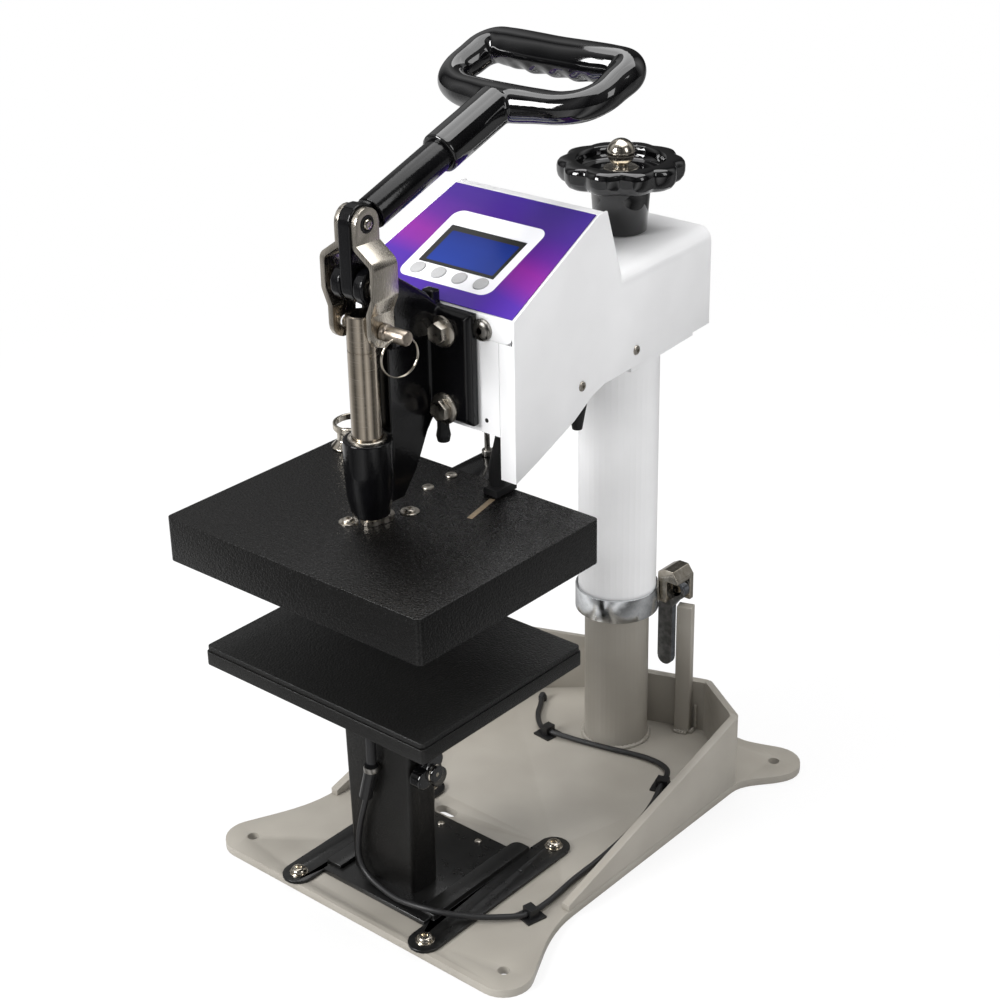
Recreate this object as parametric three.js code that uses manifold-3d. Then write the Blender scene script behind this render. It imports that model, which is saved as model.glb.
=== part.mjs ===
// Swing-away heat press: a clamshell head on a toggle, carried by an arm that swings and lifts on a
// round column. Millimetres, +Z up, the operator stands at -Y. The origin is the foot of the column.
import * as THREE from "three";
import { mergeVertices } from "three/addons/utils/BufferGeometryUtils.js";
import Module from "manifold-3d";

const wasm = await Module();
wasm.setup();

// Fits and fineness
const touch = 0.3; // gap kept between two pieces that touch
const running = 0.4; // radial gap of a shaft in its bore
const overrun = 6; // how far a cutter passes the face it cuts
const snap = 1e-4; // grid on which all corners lie
const weld = 0.01;
const roundSteps = 40;
const smallSteps = 18;
const bendSteps = 5;

// Base plate, with a bolt hole in each of its four ears
const plate = {
  thickness: 8,
  holeX: 155,
  frontHoleY: -360,
  rearHoleY: 55,
  holeRadius: 5.5,
  earRadius: 26,
  sideX: 148,
  sideFrontY: -256,
  sideRearY: -8,
  backY: 68,
  backHalfWidth: 108,
  frontEarEnd: 25,
  rearEarStart: -25,
  rearEarEnd: 105,
  longBlend: 36,
  shortBlend: 22,
  slotX: -40,
  slotY: -214,
  slotRadius: 6,
  slotLength: 12,
};

// Wall: a bent strip welded on the plate, highest at its two rear corners
const wall = {
  thickness: 8,
  frontY: -262,
  rearX: 70,
  rearY: 66,
  vertexY: 42,
  frontTop: 14,
  cornerTop: 84,
  rearTop: 64,
  bend: 10,
};

// Stop post, welded to the inside of the wall
const post = { width: 16, depth: 11, top: 153, along: 49.5 };

// Column: an inner tube that stands still and an outer tube that carries the arm
const inner = { radius: 31.75, wall: 4, top: 470 };
const outer = { radius: 38.1, wall: 5.9, bottom: 176.3, top: 536, cap: 6, capHole: 14 };
const plug = { length: 29 };
const screw = { radius: 10, bottom: 400, collarRadius: 14, collar: 9.4 };
const bush = { thickness: 11.4 };

// Clamp collar under the outer tube, with its lug and lever
const collar = { bottom: 156.5, height: 24.5, radius: 41, split: 3, lip: 0.4 };
const lever = {
  pivotX: 39,
  pivotBelowBridge: 12.4,
  hubRadius: 11.5,
  boreRadius: 7,
  frontY: 43,
  hubWidth: 9,
  bladeX: 27,
  bladeWidth: 17,
  bladeThickness: 7,
  bladeTopDrop: 21.6,
  bladeBottomDrop: 89.6,
};
const lug = {
  left: 26,
  right: 50.5,
  riserRight: 37,
  riserFront: 31,
  riserHeight: 23,
  bridgeHeight: 13,
  slope: 9,
  crown: 10,
  ear: 6,
};

// Slide rails, held by two bolts each, and the plate that slides under them
const slide = { thickness: 5, frontY: -359, rearY: -227, sideGap: 0.5 };
const rail = {
  boltX: 78,
  frontBoltY: -375,
  rearBoltY: -197,
  flangeRadius: 15.2,
  sheet: 3,
  creaseX: 66,
  lipWidth: 17,
  frontY: -350,
  rearY: -218,
  corner: 8,
  holeRadius: 4.3,
};

// Pedestal and lower platen
const pedestal = {
  centreX: -8.5,
  centreY: -319.5,
  footWidth: 74,
  footDepth: 33,
  headWidth: 80,
  headDepth: 36,
  wall: 3,
  corner: 4,
};
const lowerPlaten = { width: 254, depth: 203.2, centreY: -318, bottom: 234, thickness: 13, corner: 4 };
const pad = { thickness: 5, inset: 1 };
const lockKnob = {
  height: 141,
  studRadius: 5,
  studInside: 14,
  standOff: 3,
  width: 11,
  lobeRadius: 9.5,
  lobeOffset: 11,
  lobes: 3,
  firstLobe: 73,
  capRadius: 8,
  capWidth: 4,
};

// Arm: a box, wider at its front, under a sheet cover whose sides carry the console
const arm = {
  frontY: -258.3,
  rearY: 56,
  top: 541.6,
  midHalfWidth: 66.7,
  taperShare: 0.0948,
  sheet: 2,
  topRound: 13,
};
const skirt = {
  frontZ: 409,
  frontLowY: -226,
  frontLowZ: 417.4,
  middleY: -171,
  middleZ: 434,
  bendY: -144.5,
  bendZ: 446.6,
  flatY: -124,
  flatZ: 451.5,
  rearZ: 449,
};
const returnFlange = { innerX: 75, bottom: 405 };
const frame = {
  sideGap: 3,
  wall: 4,
  bottom: 452,
  rearBottom: 443,
  stepY: -73,
  rearY: 34,
  frontPlateBottom: 447,
};
const face = {
  rearFootY: -98.2,
  topRearY: -121,
  topFrontY: -132.9,
  topZ: 604.4,
  frontZ: 550.5,
  lipBottom: 529.5,
  lipCorner: 8,
};

// Control panel, measured on the slope from its top edge
const overlay = { thickness: 0.8, topMargin: 1.5, length: 133.5 };
const display = { halfWidth: 38, top: 54, bottom: 96, border: 3, thickness: 3 };
const keys = { radius: 6.75, pitch: 23, along: 107.4, travel: 1, depth: 3, count: 4 };
const board = { width: 120, length: 84, thickness: 1.6, start: 40, depth: 12 };

// Toggle: fulcrum in the casting, crank on the handle, two links down to the plunger
const toggleY = -336;
const fulcrumZ = 585.5;
const crankLength = 50;
const linkLength = 85;
const plunger = { radius: 12.7, top: 561, bottom: 388.3, pinRadius: 4.2 };
const guide = {
  radius: 20.6,
  rim: 453.5,
  shoulder: 425,
  waistRadius: 19.5,
  waistZ: 404,
  tipRadius: 16,
  bottom: 386,
};
const flange = { halfWidth: 53, bottom: 453, top: 550, thickness: 11, chamfer: 4 };
const flangeBolt = {
  x: 25,
  low: 464,
  high: 531,
  shank: 4.8,
  grip: 14,
};
const web = { halfWidth: 10, backOfPlunger: 5, topZ: 560 };
const webCurve = { upperY: -275, upperZ: 441, middleY: -289, middleZ: 413, lowerY: -306, lowerZ: 392 };
const cheek = { inside: 7, outside: 17.5, bossRadius: 16, topBackY: -277, topBackZ: 564 };
const bumper = { width: 12, x: 3, length: 10, top: 563 };
const fulcrumPin = { radius: 6, headRadius: 9, head: 4 };
const crank = { tang: 6.2, radius: 15, boss: 13, room: 1 };
const handle = {
  startY: -319.8,
  startZ: 637.9,
  sleeveY: -239.9,
  sleeveZ: 666.4,
  radius: 13.8,
  bore: 30,
};
// Grip: half of the loop's centre line as [across, along the handle, radius of the bar]
const grip = {
  sleeveRadius: 17,
  sleeveLength: 76,
  centreX: 2.1,
  drop: 2.8,
  riseShare: 0.067,
  turnShare: 0.12,
  sides: 16,
  steps: 44,
  half: [
    [0, 83.3, 15.7],
    [30.8, 86.3, 14],
    [54.2, 89.7, 13.1],
    [70, 98.5, 13],
    [77, 112, 13],
    [76.8, 128, 13.8],
    [76, 143, 14.3],
    [68.5, 151.5, 14.8],
    [54.7, 152, 15.7],
    [27.8, 150.8, 16.4],
    [0, 150.4, 16.2],
  ],
};
const link = {
  thickness: 5,
  width: 26,
  neckInside: 6.5,
  bellyInside: 24.5,
  footInside: 18.3,
  neckEnd: 17.5,
  bellyTop: 30,
  bellyBottom: 55,
  footTop: 69,
  eyeHole: 7.4,
  footHole: 5,
};
const topBolt = { radius: 7, standOut: 2 };
const pullPin = {
  radius: 4.2,
  collarRadius: 7,
  collar: 5,
  end: 50.5,
  crossHole: 2.6,
  crossHoleX: 40,
};
const ring = { radius: 17, wire: 1.3, twist: 15, sides: 8 };

// Head: cover, insulation and heat plate hung on the plunger
const head = {
  width: 286,
  depth: 221,
  centreY: -324.5,
  bottom: 335.7,
  top: 377.3,
  heatPlate: 13,
  sheet: 2,
  corner: 5,
  play: 0.6,
  lip: 1,
};
const insulation = { thickness: 20, inset: 8 };
const foot = { locatorY: -325.5, locatorRadius: 12, discRadius: 9, thickness: 4, spindle: 7 };
const bracket = { halfWidth: 20.5, centreX: -2.5, rearY: -140, thickness: 3, overlap: 50 };
const guideRod = { x: -15, y: -172, radius: 2.5, bottom: 284, top: 470 };
const conduit = {
  x: 46,
  y: -225,
  radius: 4.5,
  top: 540,
  bootX: 41.5,
  bootRadius: 7,
  bootTop: 400,
  bend: 428,
  boxX: 45,
  boxWidth: 15,
  boxLength: 26,
  boxHeight: 6,
};
const eye = { x: -124, y: -238, baseRadius: 15, neckRadius: 8.5, height: 14, ringRadius: 20.5, offset: 12 };
const eyeRing = { wall: 2.5, height: 6 };

// Height knob on top of the column
const knob = {
  neckBottomRadius: 24,
  neckTopRadius: 27,
  neckTop: 586,
  rim: 609,
  lobeRadius: 54.3,
  lobeDepth: 3.2,
  lobes: 10,
  recessRadius: 38.5,
  recessFloor: 597,
};
const acorn = { washerRadius: 16, washer: 3, ballRadius: 12.7, ballZ: 613.5 };

// Fittings under the arm
const boot = { x: 18, y: -264.5, radius: 6.3, neckShare: 0.82, tipRise: 1, top: 452.7, bottom: 430 };
const gland = { x: 46, y: -121, topRadius: 9, tipRadius: 4.5, length: 52 };

// Heater cable of the lower platen
const cable = { radius: 2.75, sides: 8, steps: 78 };
const lead = { x: -7, y: -344.2, radius: 4.5 };
const cablePlug = { radius: 6, length: 37, top: 140, lean: 9.7, ringRadius: 6.6, ringLength: 6 };
const clip = { size: 20, base: 2, saddle: 12, saddleLength: 9, wall: 2 };
const cableBoot = { x: -97, y: 1, radius: 4.5, height: 8, tipShare: 0.6 };

const colours = {
  greige: 0xa5a196,
  white: 0xe9e9ec,
  black: 0x1b1b1b,
  steel: 0xa39a8d,
  chrome: 0xd4d6d8,
  aluminium: 0xb8babc,
  rubber: 0x1d1d1f,
  purple: 0x5b2fb0,
  blue: 0x1f3f9a,
  grey: 0xb5b5b5,
  green: 0x2f6b45,
  bronze: 0xa9824a,
  glassWool: 0xd8cfa8,
};

// Solids from three.js geometry, joined and cut by manifold-3d

// Corners nearer to each other than a distance become one, and triangles that vanish are dropped
function welded(geometry, distance) {
  const bare = geometry.index ? geometry.toNonIndexed() : geometry.clone();
  for (const name of Object.keys(bare.attributes)) if (name !== "position") bare.deleteAttribute(name);
  const merged = mergeVertices(bare, distance);
  const corners = merged.index.array;
  const kept = [];
  for (let i = 0; i < corners.length; i += 3) {
    const [a, b, c] = [corners[i], corners[i + 1], corners[i + 2]];
    if (a !== b && b !== c && c !== a) kept.push(a, b, c);
  }
  merged.setIndex(kept);
  return merged;
}

function solid(geometry) {
  const merged = welded(geometry, snap);
  const points = merged.attributes.position.array.map((value) => Math.round(value / snap) * snap);
  const make = (triangles) =>
    new wasm.Manifold(
      new wasm.Mesh({ numProp: 3, vertProperties: points, triVerts: new Uint32Array(triangles) }),
    );
  const triangles = merged.index.array;
  const made = make(triangles);
  return made.volume() < 0 ? make(Array.from(triangles).reverse()) : made;
}

function geometryOf(body) {
  const mesh = body.getMesh();
  const position = new Float32Array(mesh.numVert * 3);
  for (let i = 0; i < mesh.numVert; i++) {
    position.set(mesh.vertProperties.subarray(i * mesh.numProp, i * mesh.numProp + 3), i * 3);
  }
  const geometry = new THREE.BufferGeometry();
  geometry.setAttribute("position", new THREE.BufferAttribute(position, 3));
  geometry.setIndex(new THREE.BufferAttribute(mesh.triVerts, 1));
  const clean = welded(geometry, weld);
  clean.computeVertexNormals();
  return clean;
}

// The same body moved by a matrix
function placed(body, matrix) {
  return solid(geometryOf(body).applyMatrix4(matrix));
}

const mirrored = (body) => placed(body, new THREE.Matrix4().makeScale(-1, 1, 1));
const shifted = (body, x, y, z) => placed(body, new THREE.Matrix4().makeTranslation(x, y, z));

function look(colour, roughness, metalness) {
  return new THREE.MeshStandardMaterial({ color: colour, roughness, metalness });
}

const looks = {
  basePaint: () => look(colours.greige, 0.45, 0.1),
  whitePaint: () => look(colours.white, 0.35, 0.05),
  blackPaint: () => look(colours.black, 0.5, 0.1),
  gloss: () => look(colours.black, 0.15, 0),
  steel: () => look(colours.steel, 0.35, 0.9),
  chrome: () => look(colours.chrome, 0.12, 1),
  aluminium: () => look(colours.aluminium, 0.4, 0.9),
  rubber: () => look(colours.rubber, 0.85, 0),
  overlay: () => look(colours.purple, 0.4, 0),
  glass: () => look(colours.blue, 0.1, 0),
  keys: () => look(colours.grey, 0.5, 0),
  board: () => look(colours.green, 0.6, 0),
  bronze: () => look(colours.bronze, 0.4, 0.8),
  board2: () => look(colours.glassWool, 0.9, 0),
};

function piece(name, body, material) {
  const mesh = new THREE.Mesh(geometryOf(body), material());
  mesh.name = name;
  return mesh;
}

function block([x0, x1], [y0, y1], [z0, z1]) {
  const box = new THREE.BoxGeometry(x1 - x0, y1 - y0, z1 - z0);
  return solid(box.translate((x0 + x1) / 2, (y0 + y1) / 2, (z0 + z1) / 2));
}

function extruded(points, depth) {
  const shape = new THREE.Shape(points.map(([x, y]) => new THREE.Vector2(x, y)));
  return new THREE.ExtrudeGeometry(shape, { depth, bevelEnabled: false });
}

// An outline in X and Y raised from z0 to z1
function prismZ(points, z0, z1) {
  return solid(extruded(points, z1 - z0).translate(0, 0, z0));
}

// An outline in Y and Z run from x0 to x1
function prismX(points, x0, x1) {
  const turn = new THREE.Matrix4().makeBasis(
    new THREE.Vector3(0, 1, 0),
    new THREE.Vector3(0, 0, 1),
    new THREE.Vector3(1, 0, 0),
  );
  return solid(extruded(points, x1 - x0).applyMatrix4(turn).translate(x0, 0, 0));
}

// An outline in X and Z run from y0 to y1
function prismY(points, y0, y1) {
  const turn = new THREE.Matrix4().makeBasis(
    new THREE.Vector3(1, 0, 0),
    new THREE.Vector3(0, 0, 1),
    new THREE.Vector3(0, -1, 0),
  );
  return solid(extruded(points, y1 - y0).applyMatrix4(turn).translate(0, y1, 0));
}

// A profile of [radius, z] turned about the vertical through (x, y)
function turned(profile, x, y, steps) {
  const points = profile.map(([r, z]) => new THREE.Vector2(r, z));
  return solid(new THREE.LatheGeometry(points, steps).rotateX(Math.PI / 2).translate(x, y, 0));
}

function disc(x, y, radius, z0, z1, steps) {
  const profile = [
    [0, z0],
    [radius, z0],
    [radius, z1],
    [0, z1],
  ];
  return turned(profile, x, y, steps);
}

function rod(from, to, radius, steps) {
  const a = new THREE.Vector3(...from);
  const b = new THREE.Vector3(...to);
  const along = b.clone().sub(a);
  const turn = new THREE.Quaternion().setFromUnitVectors(
    new THREE.Vector3(0, 1, 0),
    along.clone().normalize(),
  );
  const middle = a.add(b).divideScalar(2);
  const cylinder = new THREE.CylinderGeometry(radius, radius, along.length(), steps);
  return solid(cylinder.applyQuaternion(turn).translate(middle.x, middle.y, middle.z));
}

function rodX(x0, x1, y, z, radius, steps) {
  return rod([x0, y, z], [x1, y, z], radius, steps);
}

function arc(x, y, radius, startDegrees, endDegrees, steps) {
  return Array.from({ length: steps + 1 }, (_, i) => {
    const angle = THREE.MathUtils.degToRad(THREE.MathUtils.lerp(startDegrees, endDegrees, i / steps));
    return [x + radius * Math.cos(angle), y + radius * Math.sin(angle)];
  });
}

function blend(from, fromDirection, to, toDirection, reach) {
  const curve = new THREE.CubicBezierCurve(
    new THREE.Vector2(...from),
    new THREE.Vector2(from[0] + reach * fromDirection[0], from[1] + reach * fromDirection[1]),
    new THREE.Vector2(to[0] - reach * toDirection[0], to[1] - reach * toDirection[1]),
    new THREE.Vector2(...to),
  );
  return curve.getPoints(2 * bendSteps).map((p) => [p.x, p.y]);
}

function heading(degrees) {
  const angle = THREE.MathUtils.degToRad(degrees);
  return [-Math.sin(angle), Math.cos(angle)];
}

// A rectangle with rounded corners, about (x, y)
function roundedRectangle(x, y, width, depth, radius) {
  const right = x + width / 2 - radius;
  const left = x - width / 2 + radius;
  const back = y + depth / 2 - radius;
  const front = y - depth / 2 + radius;
  return [
    ...arc(right, front, radius, -90, 0, bendSteps),
    ...arc(right, back, radius, 0, 90, bendSteps),
    ...arc(left, back, radius, 90, 180, bendSteps),
    ...arc(left, front, radius, 180, 270, bendSteps),
  ];
}

// A bar with round ends from one point to another
function stadium([x0, y0], [x1, y1], radius) {
  const along = THREE.MathUtils.radToDeg(Math.atan2(y1 - y0, x1 - x0));
  return [
    ...arc(x1, y1, radius, along - 90, along + 90, smallSteps / 2),
    ...arc(x0, y0, radius, along + 90, along + 270, smallSteps / 2),
  ];
}

// An open path with each inner corner replaced by a tangent arc
function filleted(points, radius) {
  const path = [points[0]];
  for (let i = 1; i < points.length - 1; i++) {
    const corner = new THREE.Vector2(...points[i]);
    const back = new THREE.Vector2(...points[i - 1]).sub(corner).normalize();
    const on = new THREE.Vector2(...points[i + 1]).sub(corner).normalize();
    const half = Math.acos(THREE.MathUtils.clamp(back.dot(on), -1, 1)) / 2;
    const start = corner.clone().addScaledVector(back, radius / Math.tan(half));
    const end = corner.clone().addScaledVector(on, radius / Math.tan(half));
    const centre = corner.clone().addScaledVector(back.clone().add(on).normalize(), radius / Math.sin(half));
    const a0 = Math.atan2(start.y - centre.y, start.x - centre.x);
    let sweep = Math.atan2(end.y - centre.y, end.x - centre.x) - a0;
    if (sweep > Math.PI) sweep -= 2 * Math.PI;
    if (sweep < -Math.PI) sweep += 2 * Math.PI;
    for (let k = 0; k <= bendSteps; k++) {
      const angle = a0 + (sweep * k) / bendSteps;
      path.push([centre.x + radius * Math.cos(angle), centre.y + radius * Math.sin(angle)]);
    }
  }
  path.push(points[points.length - 1]);
  return path;
}

// The same path moved sideways by a distance, to its left when positive
function offsetPath(points, distance) {
  const normals = points.slice(1).map((p, i) => {
    const along = new THREE.Vector2(p[0] - points[i][0], p[1] - points[i][1]).normalize();
    return new THREE.Vector2(-along.y, along.x);
  });
  return points.map((p, i) => {
    const before = normals[Math.max(i - 1, 0)];
    const after = normals[Math.min(i, normals.length - 1)];
    const middle = before.clone().add(after).normalize();
    const reach = distance / middle.dot(after);
    return [p[0] + reach * middle.x, p[1] + reach * middle.y];
  });
}

// A sheet of even thickness bent along a path; the closed outline of its edge
function bentSheet(points, thickness) {
  return [...points, ...offsetPath(points, thickness).reverse()];
}

// A closed skin over sections of equally many points, which turn counter-clockwise seen from the last
function loft(sections) {
  const count = sections[0].length;
  const position = sections.flat(2);
  const triangles = [];
  for (let s = 0; s + 1 < sections.length; s++) {
    for (let i = 0; i < count; i++) {
      const a = s * count + i;
      const b = s * count + ((i + 1) % count);
      triangles.push(a, b, b + count, a, b + count, a + count);
    }
  }
  const last = (sections.length - 1) * count;
  for (let i = 1; i + 1 < count; i++) {
    triangles.push(0, i + 1, i, last, last + i, last + i + 1);
  }
  const geometry = new THREE.BufferGeometry();
  geometry.setAttribute("position", new THREE.Float32BufferAttribute(position, 3));
  geometry.setIndex(triangles);
  return solid(geometry);
}

// A round bar bent into a closed loop that lies in one plane, with its radius at each point
function closedLoop(points, normal, radii, sides) {
  const count = points.length;
  const position = [];
  const triangles = [];
  points.forEach((p, i) => {
    const tangent = points[(i + 1) % count].clone().sub(points[(i + count - 1) % count]).normalize();
    const side = tangent.clone().cross(normal);
    for (let k = 0; k < sides; k++) {
      const angle = (2 * Math.PI * k) / sides;
      const at = p.clone().addScaledVector(side, radii[i] * Math.cos(angle));
      at.addScaledVector(normal, radii[i] * Math.sin(angle));
      position.push(at.x, at.y, at.z);
      const next = (i + 1) % count;
      const across = (k + 1) % sides;
      const a = i * sides + k;
      const b = i * sides + across;
      const c = next * sides + across;
      const d = next * sides + k;
      triangles.push(a, b, c, a, c, d);
    }
  });
  const geometry = new THREE.BufferGeometry();
  geometry.setAttribute("position", new THREE.Float32BufferAttribute(position, 3));
  geometry.setIndex(triangles);
  return solid(geometry);
}

const mirrorX = (points) => points.map(([x, y]) => [-x, y]).reverse();

// Base

function basePlate() {
  const frontEar = arc(plate.holeX, plate.frontHoleY, plate.earRadius, -90, plate.frontEarEnd, smallSteps / 2);
  const rearEar = arc(
    plate.holeX,
    plate.rearHoleY,
    plate.earRadius,
    plate.rearEarStart,
    plate.rearEarEnd,
    smallSteps / 2,
  );
  const half = [
    ...frontEar,
    ...blend(
      frontEar.at(-1),
      heading(plate.frontEarEnd),
      [plate.sideX, plate.sideFrontY],
      [0, 1],
      plate.longBlend,
    ),
    ...blend(
      [plate.sideX, plate.sideRearY],
      [0, 1],
      rearEar[0],
      heading(plate.rearEarStart),
      plate.shortBlend,
    ),
    ...rearEar,
    ...blend(
      rearEar.at(-1),
      heading(plate.rearEarEnd),
      [plate.backHalfWidth, plate.backY],
      [-1, 0],
      plate.shortBlend / 2,
    ),
  ];
  const unique = half.filter((p, i) => i === 0 || Math.hypot(p[0] - half[i - 1][0], p[1] - half[i - 1][1]) > touch);
  let body = prismZ([...unique, ...mirrorX(unique)], 0, plate.thickness);
  for (const x of [-plate.holeX, plate.holeX]) {
    for (const y of [plate.frontHoleY, plate.rearHoleY]) {
      body = body.subtract(disc(x, y, plate.holeRadius, -overrun, plate.thickness + overrun, smallSteps));
    }
    for (const y of [rail.frontBoltY, rail.rearBoltY]) {
      const boltX = Math.sign(x) * rail.boltX;
      body = body.subtract(disc(boltX, y, rail.holeRadius, -overrun, plate.thickness + overrun, smallSteps));
    }
  }
  const slot = stadium(
    [plate.slotX - plate.slotLength / 2, plate.slotY],
    [plate.slotX + plate.slotLength / 2, plate.slotY],
    plate.slotRadius,
  );
  return body.subtract(prismZ(slot, -overrun, plate.thickness + overrun));
}

function wallPath() {
  const half = [
    [plate.sideX, wall.frontY],
    [plate.sideX, 0],
    [wall.rearX, wall.rearY],
  ];
  return filleted([...half, [0, wall.vertexY], ...mirrorX(half)], wall.bend);
}

function baseWall() {
  const strip = prismZ(bentSheet(wallPath(), wall.thickness), plate.thickness, wall.cornerTop);
  const above = wall.cornerTop + overrun;
  const behind = wall.rearY + overrun;
  const fall = [
    [wall.frontY - overrun, wall.frontTop],
    [wall.frontY, wall.frontTop],
    [0, wall.cornerTop],
    [wall.rearY, wall.rearTop],
    [behind, wall.rearTop],
    [behind, above],
    [wall.frontY - overrun, above],
  ];
  const across = plate.sideX + overrun;
  return strip
    .subtract(prismX(fall, -across, across))
    .subtract(block([-wall.rearX, wall.rearX], [0, behind], [wall.rearTop, above]));
}

function stopPost() {
  const along = new THREE.Vector2(wall.rearX, wall.rearY - wall.vertexY).normalize();
  const inwards = new THREE.Vector2(along.y, -along.x);
  const centre = new THREE.Vector2(0, wall.vertexY)
    .addScaledVector(along, post.along)
    .addScaledVector(inwards, wall.thickness + touch + post.depth / 2);
  const corners = [
    [-1, -1],
    [1, -1],
    [1, 1],
    [-1, 1],
  ].map(([a, b]) => {
    const at = centre.clone().addScaledVector(along, (a * post.width) / 2);
    at.addScaledVector(inwards, (-b * post.depth) / 2);
    return [at.x, at.y];
  });
  return prismZ(corners, plate.thickness, post.top);
}

function tube(outerRadius, innerRadius, z0, z1) {
  const profile = [
    [innerRadius, z0],
    [outerRadius, z0],
    [outerRadius, z1],
    [innerRadius, z1],
    [innerRadius, z0],
  ];
  return turned(profile, 0, 0, roundSteps);
}

const railTop = plate.thickness + touch + slide.thickness + touch + rail.sheet;

function slideRail(side) {
  const flangeOutline = stadium([rail.boltX, rail.frontBoltY], [rail.boltX, rail.rearBoltY], rail.flangeRadius);
  let body = prismZ(flangeOutline, plate.thickness, plate.thickness + rail.sheet);
  const riser = block(
    [rail.creaseX - rail.sheet, rail.creaseX],
    [rail.frontY, rail.rearY],
    [plate.thickness, railTop],
  );
  const inside = rail.creaseX - rail.lipWidth;
  const lip = [
    [inside, rail.frontY],
    [rail.creaseX, rail.frontY],
    [rail.creaseX, rail.rearY],
    ...arc(inside + rail.corner, rail.rearY - rail.corner, rail.corner, 90, 180, bendSteps),
  ];
  body = body.add(riser).add(prismZ(lip, railTop - rail.sheet, railTop));
  for (const y of [rail.frontBoltY, rail.rearBoltY]) {
    body = body.subtract(disc(rail.boltX, y, rail.holeRadius, 0, railTop + overrun, smallSteps));
  }
  return side < 0 ? mirrored(body) : body;
}

// Lower table

const slideTop = plate.thickness + touch + slide.thickness;
const slideHalfWidth = rail.creaseX - rail.sheet - slide.sideGap;

function pedestalSection(z, inset) {
  const share = (z - slideTop) / (lowerPlaten.bottom - slideTop);
  const width = THREE.MathUtils.lerp(pedestal.footWidth, pedestal.headWidth, share) - 2 * inset;
  const depth = THREE.MathUtils.lerp(pedestal.footDepth, pedestal.headDepth, share) - 2 * inset;
  const radius = pedestal.corner - inset;
  const outline = roundedRectangle(pedestal.centreX, pedestal.centreY, width, depth, radius);
  return outline.map(([x, y]) => [x, y, z]);
}

const pedestalRightX =
  pedestal.centreX +
  THREE.MathUtils.lerp(
    pedestal.footWidth,
    pedestal.headWidth,
    (lockKnob.height - slideTop) / (lowerPlaten.bottom - slideTop),
  ) /
    2;

function pedestalTube() {
  const top = lowerPlaten.bottom - touch;
  const skin = loft([pedestalSection(slideTop, 0), pedestalSection(top, 0)]);
  const hollow = loft([
    pedestalSection(slideTop - overrun, pedestal.wall),
    pedestalSection(top + overrun, pedestal.wall),
  ]);
  const studHole = rodX(
    pedestalRightX - overrun,
    pedestalRightX + overrun,
    pedestal.centreY,
    lockKnob.height,
    lockKnob.studRadius + running,
    smallSteps,
  );
  return skin.subtract(hollow).subtract(studHole);
}

function pedestalKnob() {
  const start = pedestalRightX + lockKnob.standOff;
  const end = start + lockKnob.width;
  const at = (x0, x1, radius) => rodX(x0, x1, pedestal.centreY, lockKnob.height, radius, smallSteps);
  let body = at(pedestalRightX - lockKnob.studInside, end, lockKnob.studRadius);
  body = body.add(at(end, end + lockKnob.capWidth, lockKnob.capRadius));
  for (let i = 0; i < lockKnob.lobes; i++) {
    const angle = THREE.MathUtils.degToRad(lockKnob.firstLobe + (360 * i) / lockKnob.lobes);
    const y = pedestal.centreY + lockKnob.lobeOffset * Math.cos(angle);
    const z = lockKnob.height + lockKnob.lobeOffset * Math.sin(angle);
    body = body.add(rodX(start, end, y, z, lockKnob.lobeRadius, smallSteps));
  }
  return body.add(at(start, end, lockKnob.lobeOffset));
}

function platenSlab(inset, z0, z1) {
  const outline = roundedRectangle(
    0,
    lowerPlaten.centreY,
    lowerPlaten.width - 2 * inset,
    lowerPlaten.depth - 2 * inset,
    lowerPlaten.corner,
  );
  return prismZ(outline, z0, z1);
}

// Column, clamp and height screw

const tubeBore = outer.radius - outer.wall;
const capBottom = outer.top - outer.cap;
const bushBottom = capBottom - touch - bush.thickness;

function outerTube() {
  const cap = turned(
    [
      [outer.capHole, capBottom],
      [outer.radius, capBottom],
      [outer.radius, outer.top],
      [outer.capHole, outer.top],
      [outer.capHole, capBottom],
    ],
    0,
    0,
    roundSteps,
  );
  return tube(outer.radius, tubeBore, outer.bottom, outer.top).add(cap);
}

function clampCollar() {
  const top = collar.bottom + collar.height;
  const seat = outer.bottom - touch;
  const profile = [
    [inner.radius + running, collar.bottom],
    [collar.radius, collar.bottom],
    [collar.radius, top - collar.lip],
    [outer.radius + touch, top],
    [outer.radius + touch, seat],
    [inner.radius + running, seat],
    [inner.radius + running, collar.bottom],
  ];
  const slit = turnedBlock(
    [0, collar.radius + overrun],
    [-collar.split / 2, collar.split / 2],
    [collar.bottom - overrun, top + overrun],
    lugHeading,
  );
  return turned(profile, 0, 0, roundSteps).subtract(slit);
}

const lugHeading = Math.atan2(lever.frontY, lever.pivotX);
const lugBridge = collar.bottom + lug.riserHeight;
const lugTop = lugBridge + lug.bridgeHeight;
const leverZ = lugBridge - lever.pivotBelowBridge;

function turnedBlock(xs, ys, zs, angle) {
  return placed(block(xs, ys, zs), new THREE.Matrix4().makeRotationZ(angle));
}

function lugOutline(low) {
  return [
    [lug.left, low],
    [lug.right, low],
    [lug.right, lugTop - lug.slope],
    [lever.pivotX + lug.crown / 2, lugTop],
    [lever.pivotX - lug.crown / 2, lugTop],
    [lug.left, lugTop - lug.slope / 2],
  ];
}

function clampLug() {
  const earFront = lever.frontY + lever.hubWidth + touch;
  const riser = block([lug.left, lug.riserRight], [lug.riserFront, lever.frontY - touch], [collar.bottom, lugBridge]);
  const bridge = prismY(lugOutline(lugBridge), lug.riserFront, earFront + touch);
  const ear = prismY(lugOutline(leverZ - lever.hubRadius), earFront, earFront + lug.ear);
  const stud = rod(
    [lever.pivotX, lever.frontY + lever.hubWidth / 2, leverZ],
    [lever.pivotX, earFront + touch, leverZ],
    lever.boreRadius - running,
    smallSteps,
  );
  const around = disc(0, 0, collar.radius + touch, collar.bottom - overrun, lugTop + overrun, roundSteps);
  return riser.add(bridge).subtract(around).add(ear).add(stud);
}

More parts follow.
